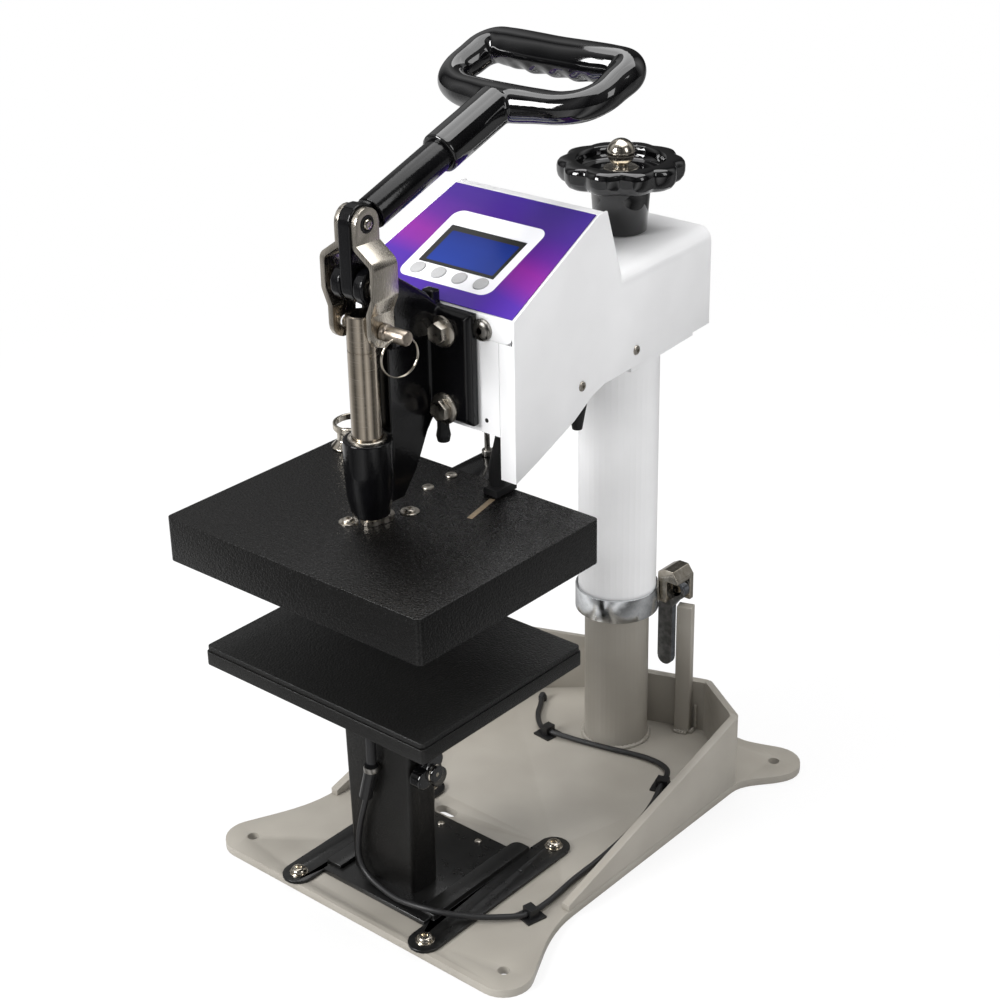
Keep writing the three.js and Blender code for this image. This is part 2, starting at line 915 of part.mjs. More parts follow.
function clampLever() {
  const back = lever.frontY + lever.hubWidth;
  const middle = lever.frontY + lever.hubWidth / 2;
  const hub = rod([lever.pivotX, lever.frontY, leverZ], [lever.pivotX, back, leverZ], lever.hubRadius, smallSteps);
  const bore = rod(
    [lever.pivotX, lever.frontY - overrun, leverZ],
    [lever.pivotX, back + overrun, leverZ],
    lever.boreRadius,
    smallSteps,
  );
  const half = lever.bladeWidth / 2;
  const neck = [
    [lever.bladeX - half, leverZ - lever.bladeTopDrop],
    [lever.bladeX + half, leverZ - lever.bladeTopDrop],
    [lever.pivotX + lever.hubRadius, leverZ],
    [lever.pivotX, leverZ + lever.boreRadius],
    [lever.pivotX - lever.hubRadius, leverZ],
  ];
  const blade = stadium(
    [lever.bladeX, leverZ - lever.bladeTopDrop],
    [lever.bladeX, leverZ - lever.bladeBottomDrop + half],
    half,
  );
  const y0 = middle - lever.bladeThickness / 2;
  const y1 = middle + lever.bladeThickness / 2;
  return hub.add(prismY(neck, y0, y1)).add(prismY(blade, y0, y1)).subtract(bore);
}

function adjustingScrew() {
  const collarTop = bushBottom - touch;
  return disc(0, 0, screw.radius, screw.bottom, knob.recessFloor, smallSteps).add(
    disc(0, 0, screw.collarRadius, collarTop - screw.collar, collarTop, smallSteps),
  );
}

function heightKnob() {
  const steps = knob.lobes * smallSteps;
  const outline = Array.from({ length: steps }, (_, i) => {
    const angle = (2 * Math.PI * i) / steps;
    const swell = 2 * Math.abs(Math.cos((knob.lobes * angle) / 2)) - 1;
    const radius = knob.lobeRadius + knob.lobeDepth * swell;
    return [radius * Math.cos(angle), radius * Math.sin(angle)];
  });
  const neck = turned(
    [
      [0, arm.top + touch],
      [knob.neckBottomRadius, arm.top + touch],
      [knob.neckTopRadius, knob.neckTop + touch],
      [0, knob.neckTop + touch],
    ],
    0,
    0,
    roundSteps,
  );
  return neck
    .add(prismZ(outline, knob.neckTop, knob.rim))
    .subtract(disc(0, 0, knob.recessRadius, knob.recessFloor, knob.rim + overrun, roundSteps))
    .subtract(disc(0, 0, screw.radius + touch, arm.top - overrun, knob.rim, smallSteps));
}

function acornNut() {
  const floor = knob.recessFloor + touch;
  const washerTop = floor + acorn.washer;
  const ball = solid(
    new THREE.SphereGeometry(acorn.ballRadius, smallSteps, smallSteps / 2)
      .rotateX(Math.PI / 2)
      .translate(0, 0, acorn.ballZ),
  );
  return disc(0, 0, acorn.washerRadius, floor, washerTop, smallSteps)
    .add(disc(0, 0, acorn.ballRadius / 2, floor, acorn.ballZ, smallSteps))
    .add(ball);
}

// Arm

const halfWidthAt = (y, inset) => arm.midHalfWidth - arm.taperShare * y - inset;

function armPlan(y0, y1, inset) {
  return [
    [-halfWidthAt(y0, inset), y0],
    [halfWidthAt(y0, inset), y0],
    [halfWidthAt(y1, inset), y1],
    [-halfWidthAt(y1, inset), y1],
  ];
}

const skirtLine = [
  [arm.frontY - overrun, skirt.frontZ],
  [arm.frontY, skirt.frontZ],
  [skirt.frontLowY, skirt.frontLowZ],
  [skirt.middleY, skirt.middleZ],
  [skirt.bendY, skirt.bendZ],
  [skirt.flatY, skirt.flatZ],
  [arm.rearY + overrun, skirt.rearZ],
];

function tailSection(y, inset) {
  const half = halfWidthAt(y, inset);
  const top = arm.top - inset;
  const radius = arm.topRound - inset;
  const section = [
    [-half, returnFlange.bottom],
    [half, returnFlange.bottom],
    ...arc(half - radius, top - radius, radius, 0, 90, bendSteps),
    ...arc(radius - half, top - radius, radius, 90, 180, bendSteps),
  ];
  return section.map(([x, z]) => [x, y, z]).reverse();
}

function armBox(y0, y1, inset, bottom) {
  return loft([tailSection(y0, inset), tailSection(y1, inset)]).intersect(
    prismZ(armPlan(y0 - overrun, y1 + overrun, 0), bottom, arm.top),
  );
}

function armCover() {
  const joinY = face.rearFootY - overrun;
  const openY = joinY - overrun;
  const tail = loft([tailSection(joinY, 0), tailSection(arm.rearY, 0)]);
  const tailHollow = loft([tailSection(openY, arm.sheet), tailSection(arm.rearY - arm.sheet, arm.sheet)]);
  const consoleSide = [
    [arm.frontY, returnFlange.bottom],
    [joinY, returnFlange.bottom],
    [face.rearFootY, arm.top],
    [face.topRearY, face.topZ],
    [face.topFrontY, face.topZ],
    [arm.frontY, face.frontZ],
  ];
  const across = halfWidthAt(arm.frontY, 0) + overrun;
  const sides = prismX(consoleSide, -across, across)
    .intersect(prismZ(armPlan(arm.frontY, face.rearFootY, 0), 0, face.topZ + overrun))
    .subtract(prismZ(armPlan(arm.frontY - overrun, face.rearFootY + overrun, arm.sheet), 0, face.topZ + overrun));
  const returns = prismZ(
    armPlan(arm.frontY, arm.frontY + arm.sheet, arm.sheet / 2),
    returnFlange.bottom,
    face.lipBottom - touch,
  ).subtract(
    block(
      [-returnFlange.innerX, returnFlange.innerX],
      [arm.frontY - overrun, 0],
      [returnFlange.bottom - overrun, face.lipBottom],
    ),
  );
  const skirtCut = [
    ...skirtLine,
    [arm.rearY + overrun, -overrun],
    [arm.frontY - overrun, -overrun],
  ];
  return tail
    .subtract(tailHollow)
    .add(sides)
    .add(returns)
    .subtract(prismX(skirtCut, -across, across))
    .subtract(disc(0, 0, outer.capHole, arm.top - overrun, arm.top + overrun, smallSteps));
}

function armFrame() {
  const inset = arm.sheet + frame.sideGap;
  const front = arm.frontY + arm.sheet + touch;
  const main = armBox(front, frame.rearY, inset, frame.bottom);
  const saddle = prismZ(armPlan(frame.stepY, frame.rearY, inset), frame.rearBottom, frame.bottom + overrun);
  const hollow = prismZ(
    armPlan(front + frame.wall, frame.rearY - frame.wall, inset + frame.wall),
    frame.bottom + frame.wall,
    arm.top,
  );
  const plateHalf = returnFlange.innerX - touch;
  const frontPlate = block(
    [-plateHalf, plateHalf],
    [arm.frontY, front + frame.wall],
    [frame.frontPlateBottom, face.lipBottom - touch],
  );
  return main
    .add(saddle)
    .add(frontPlate)
    .subtract(hollow)
    .subtract(disc(0, 0, outer.radius + touch, 0, face.topZ, roundSteps))
    .subtract(disc(conduit.x, conduit.y, conduit.radius + 2 * touch, 0, face.topZ, smallSteps))
    .subtract(disc(guideRod.x, guideRod.y, guideRod.radius + touch, 0, frame.bottom + overrun, smallSteps));
}

function boltHole(x, z) {
  const radius = flangeBolt.shank + touch;
  return rod([x, flangeFront - overrun, z], [x, flangeFront + flange.thickness + flangeBolt.grip, z], radius, smallSteps);
}

// The bent sheet between the cover's sides: front lip, slope, top and back
function consoleFace() {
  const path = filleted(
    [
      [face.rearFootY + touch, arm.top - overrun],
      [face.topRearY - touch, face.topZ - touch],
      [face.topFrontY, face.topZ - touch],
      [arm.frontY, face.frontZ - touch],
      [arm.frontY, face.lipBottom - overrun],
    ],
    2 * arm.sheet,
  );
  const sheet = prismX(bentSheet(path, arm.sheet), -arm.midHalfWidth * 2, arm.midHalfWidth * 2);
  const between = prismZ(
    armPlan(arm.frontY - overrun, face.rearFootY + overrun, arm.sheet + touch),
    0,
    face.topZ + overrun,
  );
  const lipHalf = halfWidthAt(arm.frontY, arm.sheet);
  const corner = face.lipCorner;
  const lipFront = [
    ...arc(corner - lipHalf, face.lipBottom + corner, corner, 180, 270, bendSteps),
    ...arc(lipHalf - corner, face.lipBottom + corner, corner, 270, 360, bendSteps),
    [lipHalf, face.topZ + overrun],
    [-lipHalf, face.topZ + overrun],
  ];
  const body = sheet
    .intersect(between)
    .intersect(prismY(lipFront, arm.frontY - overrun, overrun))
    .subtract(block([-lipHalf, lipHalf], [face.topRearY, 0], [0, arm.top + touch]));
  return body.subtract(onPanel(panelOpenings(touch), -overrun));
}

const panelAngle = Math.atan2(face.topZ - face.frontZ, face.topFrontY - arm.frontY);
const panelLength = Math.hypot(face.topZ - face.frontZ, face.topFrontY - arm.frontY);

// Bodies drawn flat, X across and -Y down the slope from its top edge, laid on the console's slope
function onPanel(body, lift) {
  const lay = new THREE.Matrix4()
    .makeTranslation(0, face.topFrontY, face.topZ - touch)
    .multiply(new THREE.Matrix4().makeRotationX(panelAngle))
    .multiply(new THREE.Matrix4().makeTranslation(0, 0, lift));
  return placed(body, lay);
}

function panelWidthAt(along) {
  return halfWidthAt(face.topFrontY - along * Math.cos(panelAngle), arm.sheet + 2 * touch);
}

const keyX = (i) => (i - (keys.count - 1) / 2) * keys.pitch;

function panelOpenings(gap) {
  const depth = 2 * overrun;
  let openings = block(
    [-display.halfWidth - display.border - gap, display.halfWidth + display.border + gap],
    [-display.bottom - display.border - gap, -display.top + display.border + gap],
    [0, depth],
  );
  for (let i = 0; i < keys.count; i++) {
    openings = openings.add(disc(keyX(i), -keys.along, keys.radius + gap, 0, depth, smallSteps));
  }
  return openings;
}

function controlOverlay() {
  const end = overlay.topMargin + overlay.length;
  const outline = [
    [-panelWidthAt(overlay.topMargin), -overlay.topMargin],
    [-panelWidthAt(end), -end],
    [panelWidthAt(end), -end],
    [panelWidthAt(overlay.topMargin), -overlay.topMargin],
  ];
  const film = prismZ(outline, 0, overlay.thickness);
  return onPanel(film.subtract(shifted(panelOpenings(touch), 0, 0, -overrun)), touch);
}

function displayWindow() {
  const body = block(
    [-display.halfWidth - display.border, display.halfWidth + display.border],
    [-display.bottom - display.border, -display.top + display.border],
    [overlay.thickness - display.thickness, overlay.thickness],
  );
  return onPanel(body, 0);
}

function key(i) {
  const top = touch + overlay.thickness + keys.travel;
  return onPanel(disc(keyX(i), -keys.along, keys.radius, -keys.depth, top, smallSteps), 0);
}

function controlBoard() {
  const body = block(
    [-board.width / 2, board.width / 2],
    [-board.start - board.length, -board.start],
    [-board.depth - board.thickness, -board.depth],
  );
  let posts = body;
  for (const x of [-board.width / 2 + overrun, board.width / 2 - overrun]) {
    for (const y of [-board.start - overrun, -board.start - board.length + overrun]) {
      posts = posts.add(disc(x, y, overrun / 2, -board.depth, -arm.sheet - touch, smallSteps));
    }
  }
  return onPanel(posts, 0);
}

// Toggle casting, bolted to the front of the arm

const flangeBack = arm.frontY - touch;
const flangeFront = flangeBack - flange.thickness;

function chamferedPlate() {
  const half = flange.halfWidth;
  const slope = flange.chamfer;
  const rim = (inset, y) => [
    [-half + inset, y, flange.bottom + inset],
    [half - inset, y, flange.bottom + inset],
    [half - inset, y, flange.top - inset],
    [-half + inset, y, flange.top - inset],
  ];
  return loft([rim(slope, flangeFront), rim(0, flangeFront + slope), rim(0, flangeBack)]);
}

function toggleCasting() {
  const bore = plunger.radius + running;
  const outside = turned(
    [
      [0, guide.bottom],
      [guide.tipRadius, guide.bottom],
      [guide.waistRadius, guide.waistZ],
      [guide.radius, guide.shoulder],
      [guide.radius, guide.rim],
      [0, guide.rim],
    ],
    0,
    toggleY,
    roundSteps,
  );
  const frontOfWeb = toggleY + plunger.radius + web.backOfPlunger;
  const webOutline = [
    [frontOfWeb, guide.rim],
    [toggleY, guide.rim],
    [toggleY, webCurve.lowerZ],
    [webCurve.lowerY, webCurve.lowerZ],
    [webCurve.middleY, webCurve.middleZ],
    [webCurve.upperY, webCurve.upperZ],
    [flangeFront + flange.chamfer, flange.bottom],
    [flangeFront + flange.chamfer, web.topZ],
    [frontOfWeb, web.topZ],
  ];
  const boss = arc(toggleY, fulcrumZ, cheek.bossRadius, 60, 270, smallSteps / 2);
  const cheekOutline = [
    ...boss,
    [frontOfWeb, web.topZ],
    [frontOfWeb, web.topZ - cheek.bossRadius * 2],
    [flangeFront + flange.chamfer, web.topZ - cheek.bossRadius * 2],
    [flangeFront + flange.chamfer, flange.top],
    [cheek.topBackY, cheek.topBackZ],
  ];
  const cheeks = prismX(cheekOutline, -cheek.outside, cheek.outside).subtract(
    block(
      [-cheek.inside, cheek.inside],
      [toggleY - 2 * cheek.bossRadius, frontOfWeb + 2 * touch],
      [guide.rim, fulcrumZ + 2 * cheek.bossRadius],
    ),
  );
  const crankRoom = rodX(-cheek.inside, cheek.inside, toggleY, fulcrumZ, crank.radius + crank.room + running, roundSteps);
  const stop = block(
    [bumper.x, bumper.x + bumper.width],
    [flangeFront, flangeFront + bumper.length],
    [flange.top - flange.chamfer, bumper.top],
  );
  let body = outside
    .add(prismX(webOutline, -web.halfWidth, web.halfWidth))
    .add(cheeks)
    .subtract(crankRoom)
    .add(chamferedPlate())
    .add(stop)
    .subtract(disc(0, toggleY, bore, guide.bottom - overrun, guide.rim + overrun, roundSteps))
    .subtract(rodX(-2 * cheek.outside, 2 * cheek.outside, toggleY, fulcrumZ, fulcrumPin.radius + touch, smallSteps));
  for (const x of [-flangeBolt.x, flangeBolt.x]) {
    for (const z of [flangeBolt.low, flangeBolt.high]) body = body.subtract(boltHole(x, z));
  }
  return body;
}

function fulcrumBolt() {
  const out = cheek.outside + touch;
  const end = out + fulcrumPin.head;
  const at = (x0, x1, radius) => rodX(x0, x1, toggleY, fulcrumZ, radius, smallSteps);
  return at(-end, end, fulcrumPin.radius)
    .add(at(-end, -out, fulcrumPin.headRadius))
    .add(at(out, end, fulcrumPin.headRadius));
}

// Handle

const crankTopZ = fulcrumZ + crankLength;
const handleStart = new THREE.Vector3(0, handle.startY, handle.startZ);
const sleeveStart = new THREE.Vector3(0, handle.sleeveY, handle.sleeveZ);
const handleLine = sleeveStart.clone().sub(handleStart).normalize();
const handleUp = new THREE.Vector3(1, 0, 0).cross(handleLine);

const onHandle = (x, along) => sleeveStart.clone().addScaledVector(handleLine, along).setX(x);

function handleCrank() {
  const tang = prismX(
    stadium([toggleY, fulcrumZ], [toggleY, crankTopZ], crank.radius),
    -crank.tang,
    crank.tang,
  );
  const socketEnd = handleStart.clone().addScaledVector(handleLine, -touch);
  const socket = rod([0, toggleY, crankTopZ - touch], socketEnd.toArray(), crank.boss, smallSteps);
  return tang
    .add(socket.intersect(block([-crank.tang, crank.tang], [2 * toggleY, 0], [0, 2 * crankTopZ])))
    .subtract(rod(socketEnd.toArray(), sleeveStart.toArray(), handle.radius + touch, smallSteps))
    .subtract(rodX(-2 * crank.tang, 2 * crank.tang, toggleY, fulcrumZ, fulcrumPin.radius + running, smallSteps))
    .subtract(rodX(-2 * crank.tang, 2 * crank.tang, toggleY, crankTopZ, topBolt.radius + running, smallSteps));
}

function handleTube() {
  const end = onHandle(0, handle.bore - touch);
  return rod(handleStart.toArray(), end.toArray(), handle.radius, smallSteps);
}

// The grip's loop as points of its centre line with the bar's radius at each
function gripLoop() {
  const other = grip.half.slice(1, -1).map(([x, along, radius]) => [-x, along, radius]);
  const round = [...grip.half, ...other.reverse()].map((p) => new THREE.Vector3(...p));
  const curve = new THREE.CatmullRomCurve3(round, true, "centripetal");
  return curve.getPoints(grip.steps).slice(0, -1);
}

function handGrip() {
  const loopPoints = gripLoop();
  const nearBar = grip.half[0][1];
  const points = loopPoints.map((p) => {
    const past = p.y - nearBar;
    const lift = grip.riseShare * past - grip.drop;
    return onHandle(grip.centreX + grip.turnShare * past + p.x, p.y).addScaledVector(handleUp, lift);
  });
  const radii = loopPoints.map((p) => p.z);
  const loop = closedLoop(points, handleUp, radii, grip.sides);
  const sleeve = rod(
    onHandle(0, 0).toArray(),
    onHandle(0, grip.sleeveLength).toArray(),
    grip.sleeveRadius,
    smallSteps,
  );
  const bore = rod(
    onHandle(0, -overrun).toArray(),
    onHandle(0, handle.bore).toArray(),
    handle.radius + touch,
    smallSteps,
  );
  return loop.add(sleeve).subtract(bore);
}

// Links, measured down from the top pivot

function toggleLink(side) {
  const t = link.thickness;
  const z = (down) => crankTopZ - down;
  const path = [
    [link.neckInside, z(-link.width / 2)],
    [link.neckInside, z(link.neckEnd)],
    [link.bellyInside, z(link.bellyTop)],
    [link.bellyInside, z(link.bellyBottom)],
    [link.footInside, z(link.footTop)],
    [link.footInside, z(linkLength + link.width / 2)],
  ];
  const strip = prismY(
    bentSheet(filleted(path, t), t),
    toggleY - link.width / 2,
    toggleY + link.width / 2,
  );
  const outline = stadium([toggleY, crankTopZ], [toggleY, z(linkLength)], link.width / 2);
  const body = strip
    .intersect(prismX(outline, 0, 2 * link.bellyInside))
    .subtract(rodX(0, link.neckInside + 2 * t, toggleY, crankTopZ, link.eyeHole, smallSteps))
    .subtract(rodX(link.neckInside, 2 * link.bellyInside, toggleY, z(linkLength), link.footHole, smallSteps));
  return side < 0 ? mirrored(body) : body;
}

function topPin() {
  const out = link.neckInside + link.thickness + touch;
  const at = (x0, x1, radius) => rodX(x0, x1, toggleY, crankTopZ, radius, smallSteps);
  const end = out + topBolt.standOut;
  return at(-end, end, topBolt.radius);
}

const pinZ = crankTopZ - linkLength;

function clevisPin() {
  const end = link.footInside - 2 * touch;
  return rodX(-end, end, toggleY, pinZ, plunger.pinRadius, smallSteps);
}

function pullPinBody() {
  const shoulder = link.footInside + link.thickness + touch;
  const at = (x0, x1, radius) => rodX(x0, x1, toggleY, pinZ, radius, smallSteps);
  const twist = THREE.MathUtils.degToRad(ring.twist);
  const across = new THREE.Vector3(Math.sin(twist), Math.cos(twist), 0).multiplyScalar(2 * pullPin.radius);
  const hole = new THREE.Vector3(pullPin.crossHoleX, toggleY, pinZ);
  const cross = rod(
    hole.clone().sub(across).toArray(),
    hole.clone().add(across).toArray(),
    pullPin.crossHole,
    smallSteps,
  );
  return at(link.footInside, pullPin.end, pullPin.radius)
    .add(at(shoulder, shoulder + pullPin.collar, pullPin.collarRadius))
    .subtract(cross);
}

function splitRing() {
  const twist = THREE.MathUtils.degToRad(ring.twist);
  const across = new THREE.Vector3(Math.sin(twist), Math.cos(twist), 0);
  const normal = new THREE.Vector3(0, 0, 1).cross(across);
  const steps = roundSteps / 2;
  const points = Array.from({ length: steps }, (_, i) => {
    const angle = (2 * Math.PI * i) / steps;
    return new THREE.Vector3(pullPin.crossHoleX, toggleY, pinZ - ring.radius)
      .addScaledVector(across, ring.radius * Math.cos(angle))
      .add(new THREE.Vector3(0, 0, ring.radius * Math.sin(angle)));
  });
  return closedLoop(points, normal, Array(steps).fill(ring.wire), ring.sides);
}

// Head

function headSlab(inset, z0, z1) {
  const outline = roundedRectangle(
    0,
    head.centreY,
    head.width - 2 * inset,
    head.depth - 2 * inset,
    head.corner - Math.min(inset, head.corner / 2),
  );
  return prismZ(outline, z0, z1);
}

const heatPlateTop = head.bottom + head.heatPlate;

// The cover's skirt comes down round the heat plate, whose face stands out below it
function platenCover() {
  const bottom = head.bottom + head.lip;
  return headSlab(0, bottom, head.top)
    .subtract(headSlab(head.sheet, bottom - overrun, head.top - head.sheet))
    .subtract(bracketTongue(touch));
}

function platenFoot() {
  const base = head.top + touch;
  const top = base + foot.thickness;
  return disc(0, foot.locatorY, foot.locatorRadius, base, top, smallSteps)
    .add(disc(0, toggleY, foot.discRadius, base, top, smallSteps))
    .add(disc(0, toggleY, foot.spindle, base, plunger.bottom - touch, smallSteps));
}

// The bracket's tongue lies under the cover's top and leaves through its rear wall
function bracketTongue(room) {
  const rearOfHead = head.centreY + head.depth / 2;
  const top = head.top - head.sheet - touch;
  const outline = roundedRectangle(
    bracket.centreX,
    (bracket.rearY + rearOfHead - bracket.overlap) / 2,
    2 * (bracket.halfWidth + room),
    bracket.rearY - rearOfHead + bracket.overlap + 2 * room,
    head.corner + room,
  );
  return prismZ(outline, top - bracket.thickness - room, top + room);
}

function guideBracket() {
  return bracketTongue(0).subtract(
    disc(guideRod.x, guideRod.y, guideRod.radius + running, 0, head.top, smallSteps),
  );
}

function heaterConduit() {
  const base = head.top + touch;
  const boxTop = base + conduit.boxHeight;
  const section = (x, radius, z) =>
    arc(x, conduit.y, radius, 0, 360, smallSteps)
      .slice(0, -1)
      .map(([px, py]) => [px, py, z]);
  const sleeve = loft([
    section(conduit.bootX, conduit.bootRadius, base),
    section(conduit.bootX, conduit.bootRadius, conduit.bootTop),
    section(conduit.x, conduit.radius, conduit.bend),
    section(conduit.x, conduit.radius, conduit.top),
  ]);
  return block(
    [conduit.boxX - conduit.boxWidth / 2, conduit.boxX + conduit.boxWidth / 2],
    [conduit.y - conduit.boxLength / 2, conduit.y + conduit.boxLength / 2],
    [base, boxTop],
  ).add(sleeve);
}

function liftingEye() {
  const base = head.top + touch;
  const top = base + eye.height;
  const stem = turned(
    [
      [0, base],
      [eye.baseRadius, base],
      [eye.neckRadius, (base + top) / 2],
      [eye.neckRadius, top + eyeRing.height / 2],
      [0, top + eyeRing.height / 2],
    ],
    eye.x,
    eye.y,
    smallSteps,
  );
  const ringY = eye.y + eye.offset;
  const hoop = disc(eye.x, ringY, eye.ringRadius, top, top + eyeRing.height, roundSteps);
  const hole = disc(eye.x, ringY, eye.ringRadius - eyeRing.wall, base, top + 2 * overrun, roundSteps);
  return stem.subtract(shifted(hole, 0, 0, eye.height)).add(hoop.subtract(hole));
}

// Fittings

function bootBody() {
  return turned(
    [
      [0, boot.bottom],
      [boot.radius * boot.neckShare, boot.bottom + boot.tipRise],
      [boot.radius, boot.bottom + boot.radius],
      [boot.radius * boot.neckShare, boot.bottom + 2 * boot.radius],
      [boot.radius * boot.neckShare, boot.top],
      [0, boot.top],
    ],
    boot.x,
    boot.y,
    smallSteps,
  );
}

function glandBody() {
  const top = frame.bottom - touch;
  return turned(
    [
      [0, top - gland.length],
      [gland.tipRadius, top - gland.length],
      [gland.topRadius, top - gland.length / 2],
      [gland.topRadius, top],
      [0, top],
    ],
    gland.x,
    gland.y,
    smallSteps,
  );
}

// Heater cable: from its plug down the pedestal, over the rail and round the base to the boot

const plugTop = new THREE.Vector3(lead.x, lead.y, cablePlug.top);
const plugEnd = plugTop.clone().add(
  new THREE.Vector3(
    -cablePlug.lean,
    0,
    -Math.sqrt(cablePlug.length ** 2 - cablePlug.lean ** 2),
  ),
);

const cableHeight = plate.thickness + clip.base + touch + cable.radius;

const clipPlaces = [
  { x: 126, y: -288.5, heading: 76 },
  { x: 97, y: -52, heading: 107 },
  { x: -51, y: -47.5, heading: 175 },
];

const [frontClip, sideClip, rearClip] = clipPlaces;

// The cable runs straight through a clip
function throughClip({ x, y, heading: degrees }) {
  const angle = THREE.MathUtils.degToRad(degrees);
  const reach = (clip.size / 2 + overrun) / 2;
  return [-2, -1, 0, 1, 2].map((step) => [
    x + step * (reach / 2) * Math.cos(angle),
    y + step * (reach / 2) * Math.sin(angle),
    cableHeight,
  ]);
}

const cableRoute = [
  [-19.6, -343.4, 93],
  [-24, -343.6, 78],
  [-27.6, -343.9, 62],
  [-29.4, -344.2, 47],
  [-29, -344.8, 36],
  [-24.5, -345.8, 26],
  [-14, -347.6, 19.5],
  [4, -350.5, 16.8],
  [24, -353, 16.8],
  [40, -353, 18.6],
  [56, -350.6, 20],
  [72, -344, 19],
  [88, -332, 16],
  [104, -318, 14],
  ...throughClip(frontClip),
  [127.6, -262, 12],
  [124.5, -230, 11.1],
  [123.4, -182, 11.1],
  [118.4, -129, 11.1],
  [108.5, -84, 11.8],
  ...throughClip(sideClip),
  [86.5, -30, 12],
  [74, -24, 11.2],
  [52, -24.4, 11.1],
  [20.5, -32.6, 11.1],
  [-9, -39.6, 11.1],
  [-28, -44.4, 12],
  ...throughClip(rearClip),
  [-70, -38.5, 12],
  [-81, -26, 11.4],
  [-89, -12.5, 11.4],
];

function freeCable() {
  const start = plugEnd.clone().addScaledVector(plugEnd.clone().sub(plugTop).normalize(), touch);
  const bootSide = new THREE.Vector3(cableBoot.x, cableBoot.y, cableRoute.at(-1)[2]);
  const last = new THREE.Vector3(...cableRoute.at(-1));
  const end = bootSide.clone().addScaledVector(last.clone().sub(bootSide).normalize(), cableBoot.radius + 2 * touch);
  const points = [start, ...cableRoute.map((p) => new THREE.Vector3(...p)), end];
  const curve = new THREE.CatmullRomCurve3(points, false, "centripetal");
  const section = new THREE.Shape(
    arc(0, 0, cable.radius, 0, 360, cable.sides)
      .slice(0, -1)
      .map(([x, y]) => new THREE.Vector2(x, y)),
  );
  const swept = new THREE.ExtrudeGeometry(section, {
    steps: cable.steps,
    extrudePath: curve,
    bevelEnabled: false,
  });
  return solid(swept);
}

function cableClip({ x, y, heading: degrees }) {
  const half = clip.size / 2;
  const base = plate.thickness;
  const saddleTop = cableHeight + cable.radius + 2 * touch + clip.wall;
  const body = block([-half, half], [-half, half], [base, base + clip.base]).add(
    block([-clip.saddleLength / 2, clip.saddleLength / 2], [-clip.saddle / 2, clip.saddle / 2], [base, saddleTop]),
  );
  const bore = rod([-clip.size, 0, cableHeight], [clip.size, 0, cableHeight], cable.radius + 2 * touch, smallSteps);
  const place = new THREE.Matrix4().makeRotationZ(THREE.MathUtils.degToRad(degrees)).setPosition(x, y, 0);
  return placed(body.subtract(bore), place);
}

function bootOfCable() {
  const base = plate.thickness;
  return turned(
    [
      [0, base],
      [cableBoot.radius, base],
      [cableBoot.radius, base + cableBoot.height / 2],
      [cableBoot.radius * cableBoot.tipShare, base + cableBoot.height],
      [0, base + cableBoot.height],
    ],
    cableBoot.x,
    cableBoot.y,
    smallSteps,
  );
}

function plugBody() {
  const along = plugEnd.clone().sub(plugTop).normalize();
  const ringEnd = plugTop.clone().addScaledVector(along, cablePlug.ringLength);
  return rod(plugTop.toArray(), plugEnd.toArray(), cablePlug.radius, smallSteps).add(
    rod(plugTop.toArray(), ringEnd.toArray(), cablePlug.ringRadius, smallSteps),
  );
}

function platenLead() {
  const lowest = cablePlug.top + cablePlug.ringRadius / 2;
  return disc(lead.x, lead.y, lead.radius, lowest, lowerPlaten.bottom - touch, smallSteps);
}

// Assembly

const press = new THREE.Group();

const base = new THREE.Group();
base.add(
  piece("base_plate", basePlate(), looks.basePaint),
  piece("base_wall", baseWall(), looks.basePaint),
  piece("stop_post", stopPost(), looks.basePaint),
  piece(
    "inner_column",
    tube(inner.radius, inner.radius - inner.wall, plate.thickness, inner.top),
    looks.basePaint,
  ),
  piece(
    "column_plug",
    tube(inner.radius - inner.wall - touch, screw.radius + running, inner.top - plug.length, inner.top),
    looks.steel,
  ),
  piece("rail_left", slideRail(-1), looks.blackPaint),
  piece("rail_right", slideRail(1), looks.blackPaint),
  piece("heater_cable", freeCable(), looks.rubber),
  piece("cable_boot", bootOfCable(), looks.rubber),
  ...clipPlaces.map((place, i) => piece("cable_clip_" + (i + 1), cableClip(place), looks.rubber)),
);

const table = new THREE.Group();
table.add(
  piece(
    "slide_plate",
    block(
      [-slideHalfWidth, slideHalfWidth],
      [slide.frontY, slide.rearY],
      [plate.thickness + touch, slideTop],
    ),
    looks.blackPaint,
  ),
  piece("pedestal", pedestalTube(), looks.blackPaint),
  piece(
    "lower_platen",
    platenSlab(0, lowerPlaten.bottom, lowerPlaten.bottom + lowerPlaten.thickness),
    looks.blackPaint,
  ),
  piece(
    "platen_pad",
    platenSlab(
      pad.inset,
      lowerPlaten.bottom + lowerPlaten.thickness + touch,
      lowerPlaten.bottom + lowerPlaten.thickness + touch + pad.thickness,
    ),
    looks.rubber,
  ),
  piece("platen_lead", platenLead(), looks.rubber),
  piece("cable_plug", plugBody(), looks.rubber),
  piece("pedestal_knob", pedestalKnob(), looks.gloss),
);

const column = new THREE.Group();
column.add(
  piece("thrust_bush", tube(tubeBore - touch, screw.radius + running, bushBottom, capBottom - touch), looks.bronze),
  piece("adjusting_screw", adjustingScrew(), looks.steel),
  piece("height_knob", heightKnob(), looks.gloss),
  piece("acorn_nut", acornNut(), looks.chrome),
  piece("outer_tube", outerTube(), looks.whitePaint),
  piece("clamp_collar", clampCollar(), looks.chrome),
  piece("clamp_lug", clampLug(), looks.steel),
  piece("clamp_lever", clampLever(), looks.chrome),
);

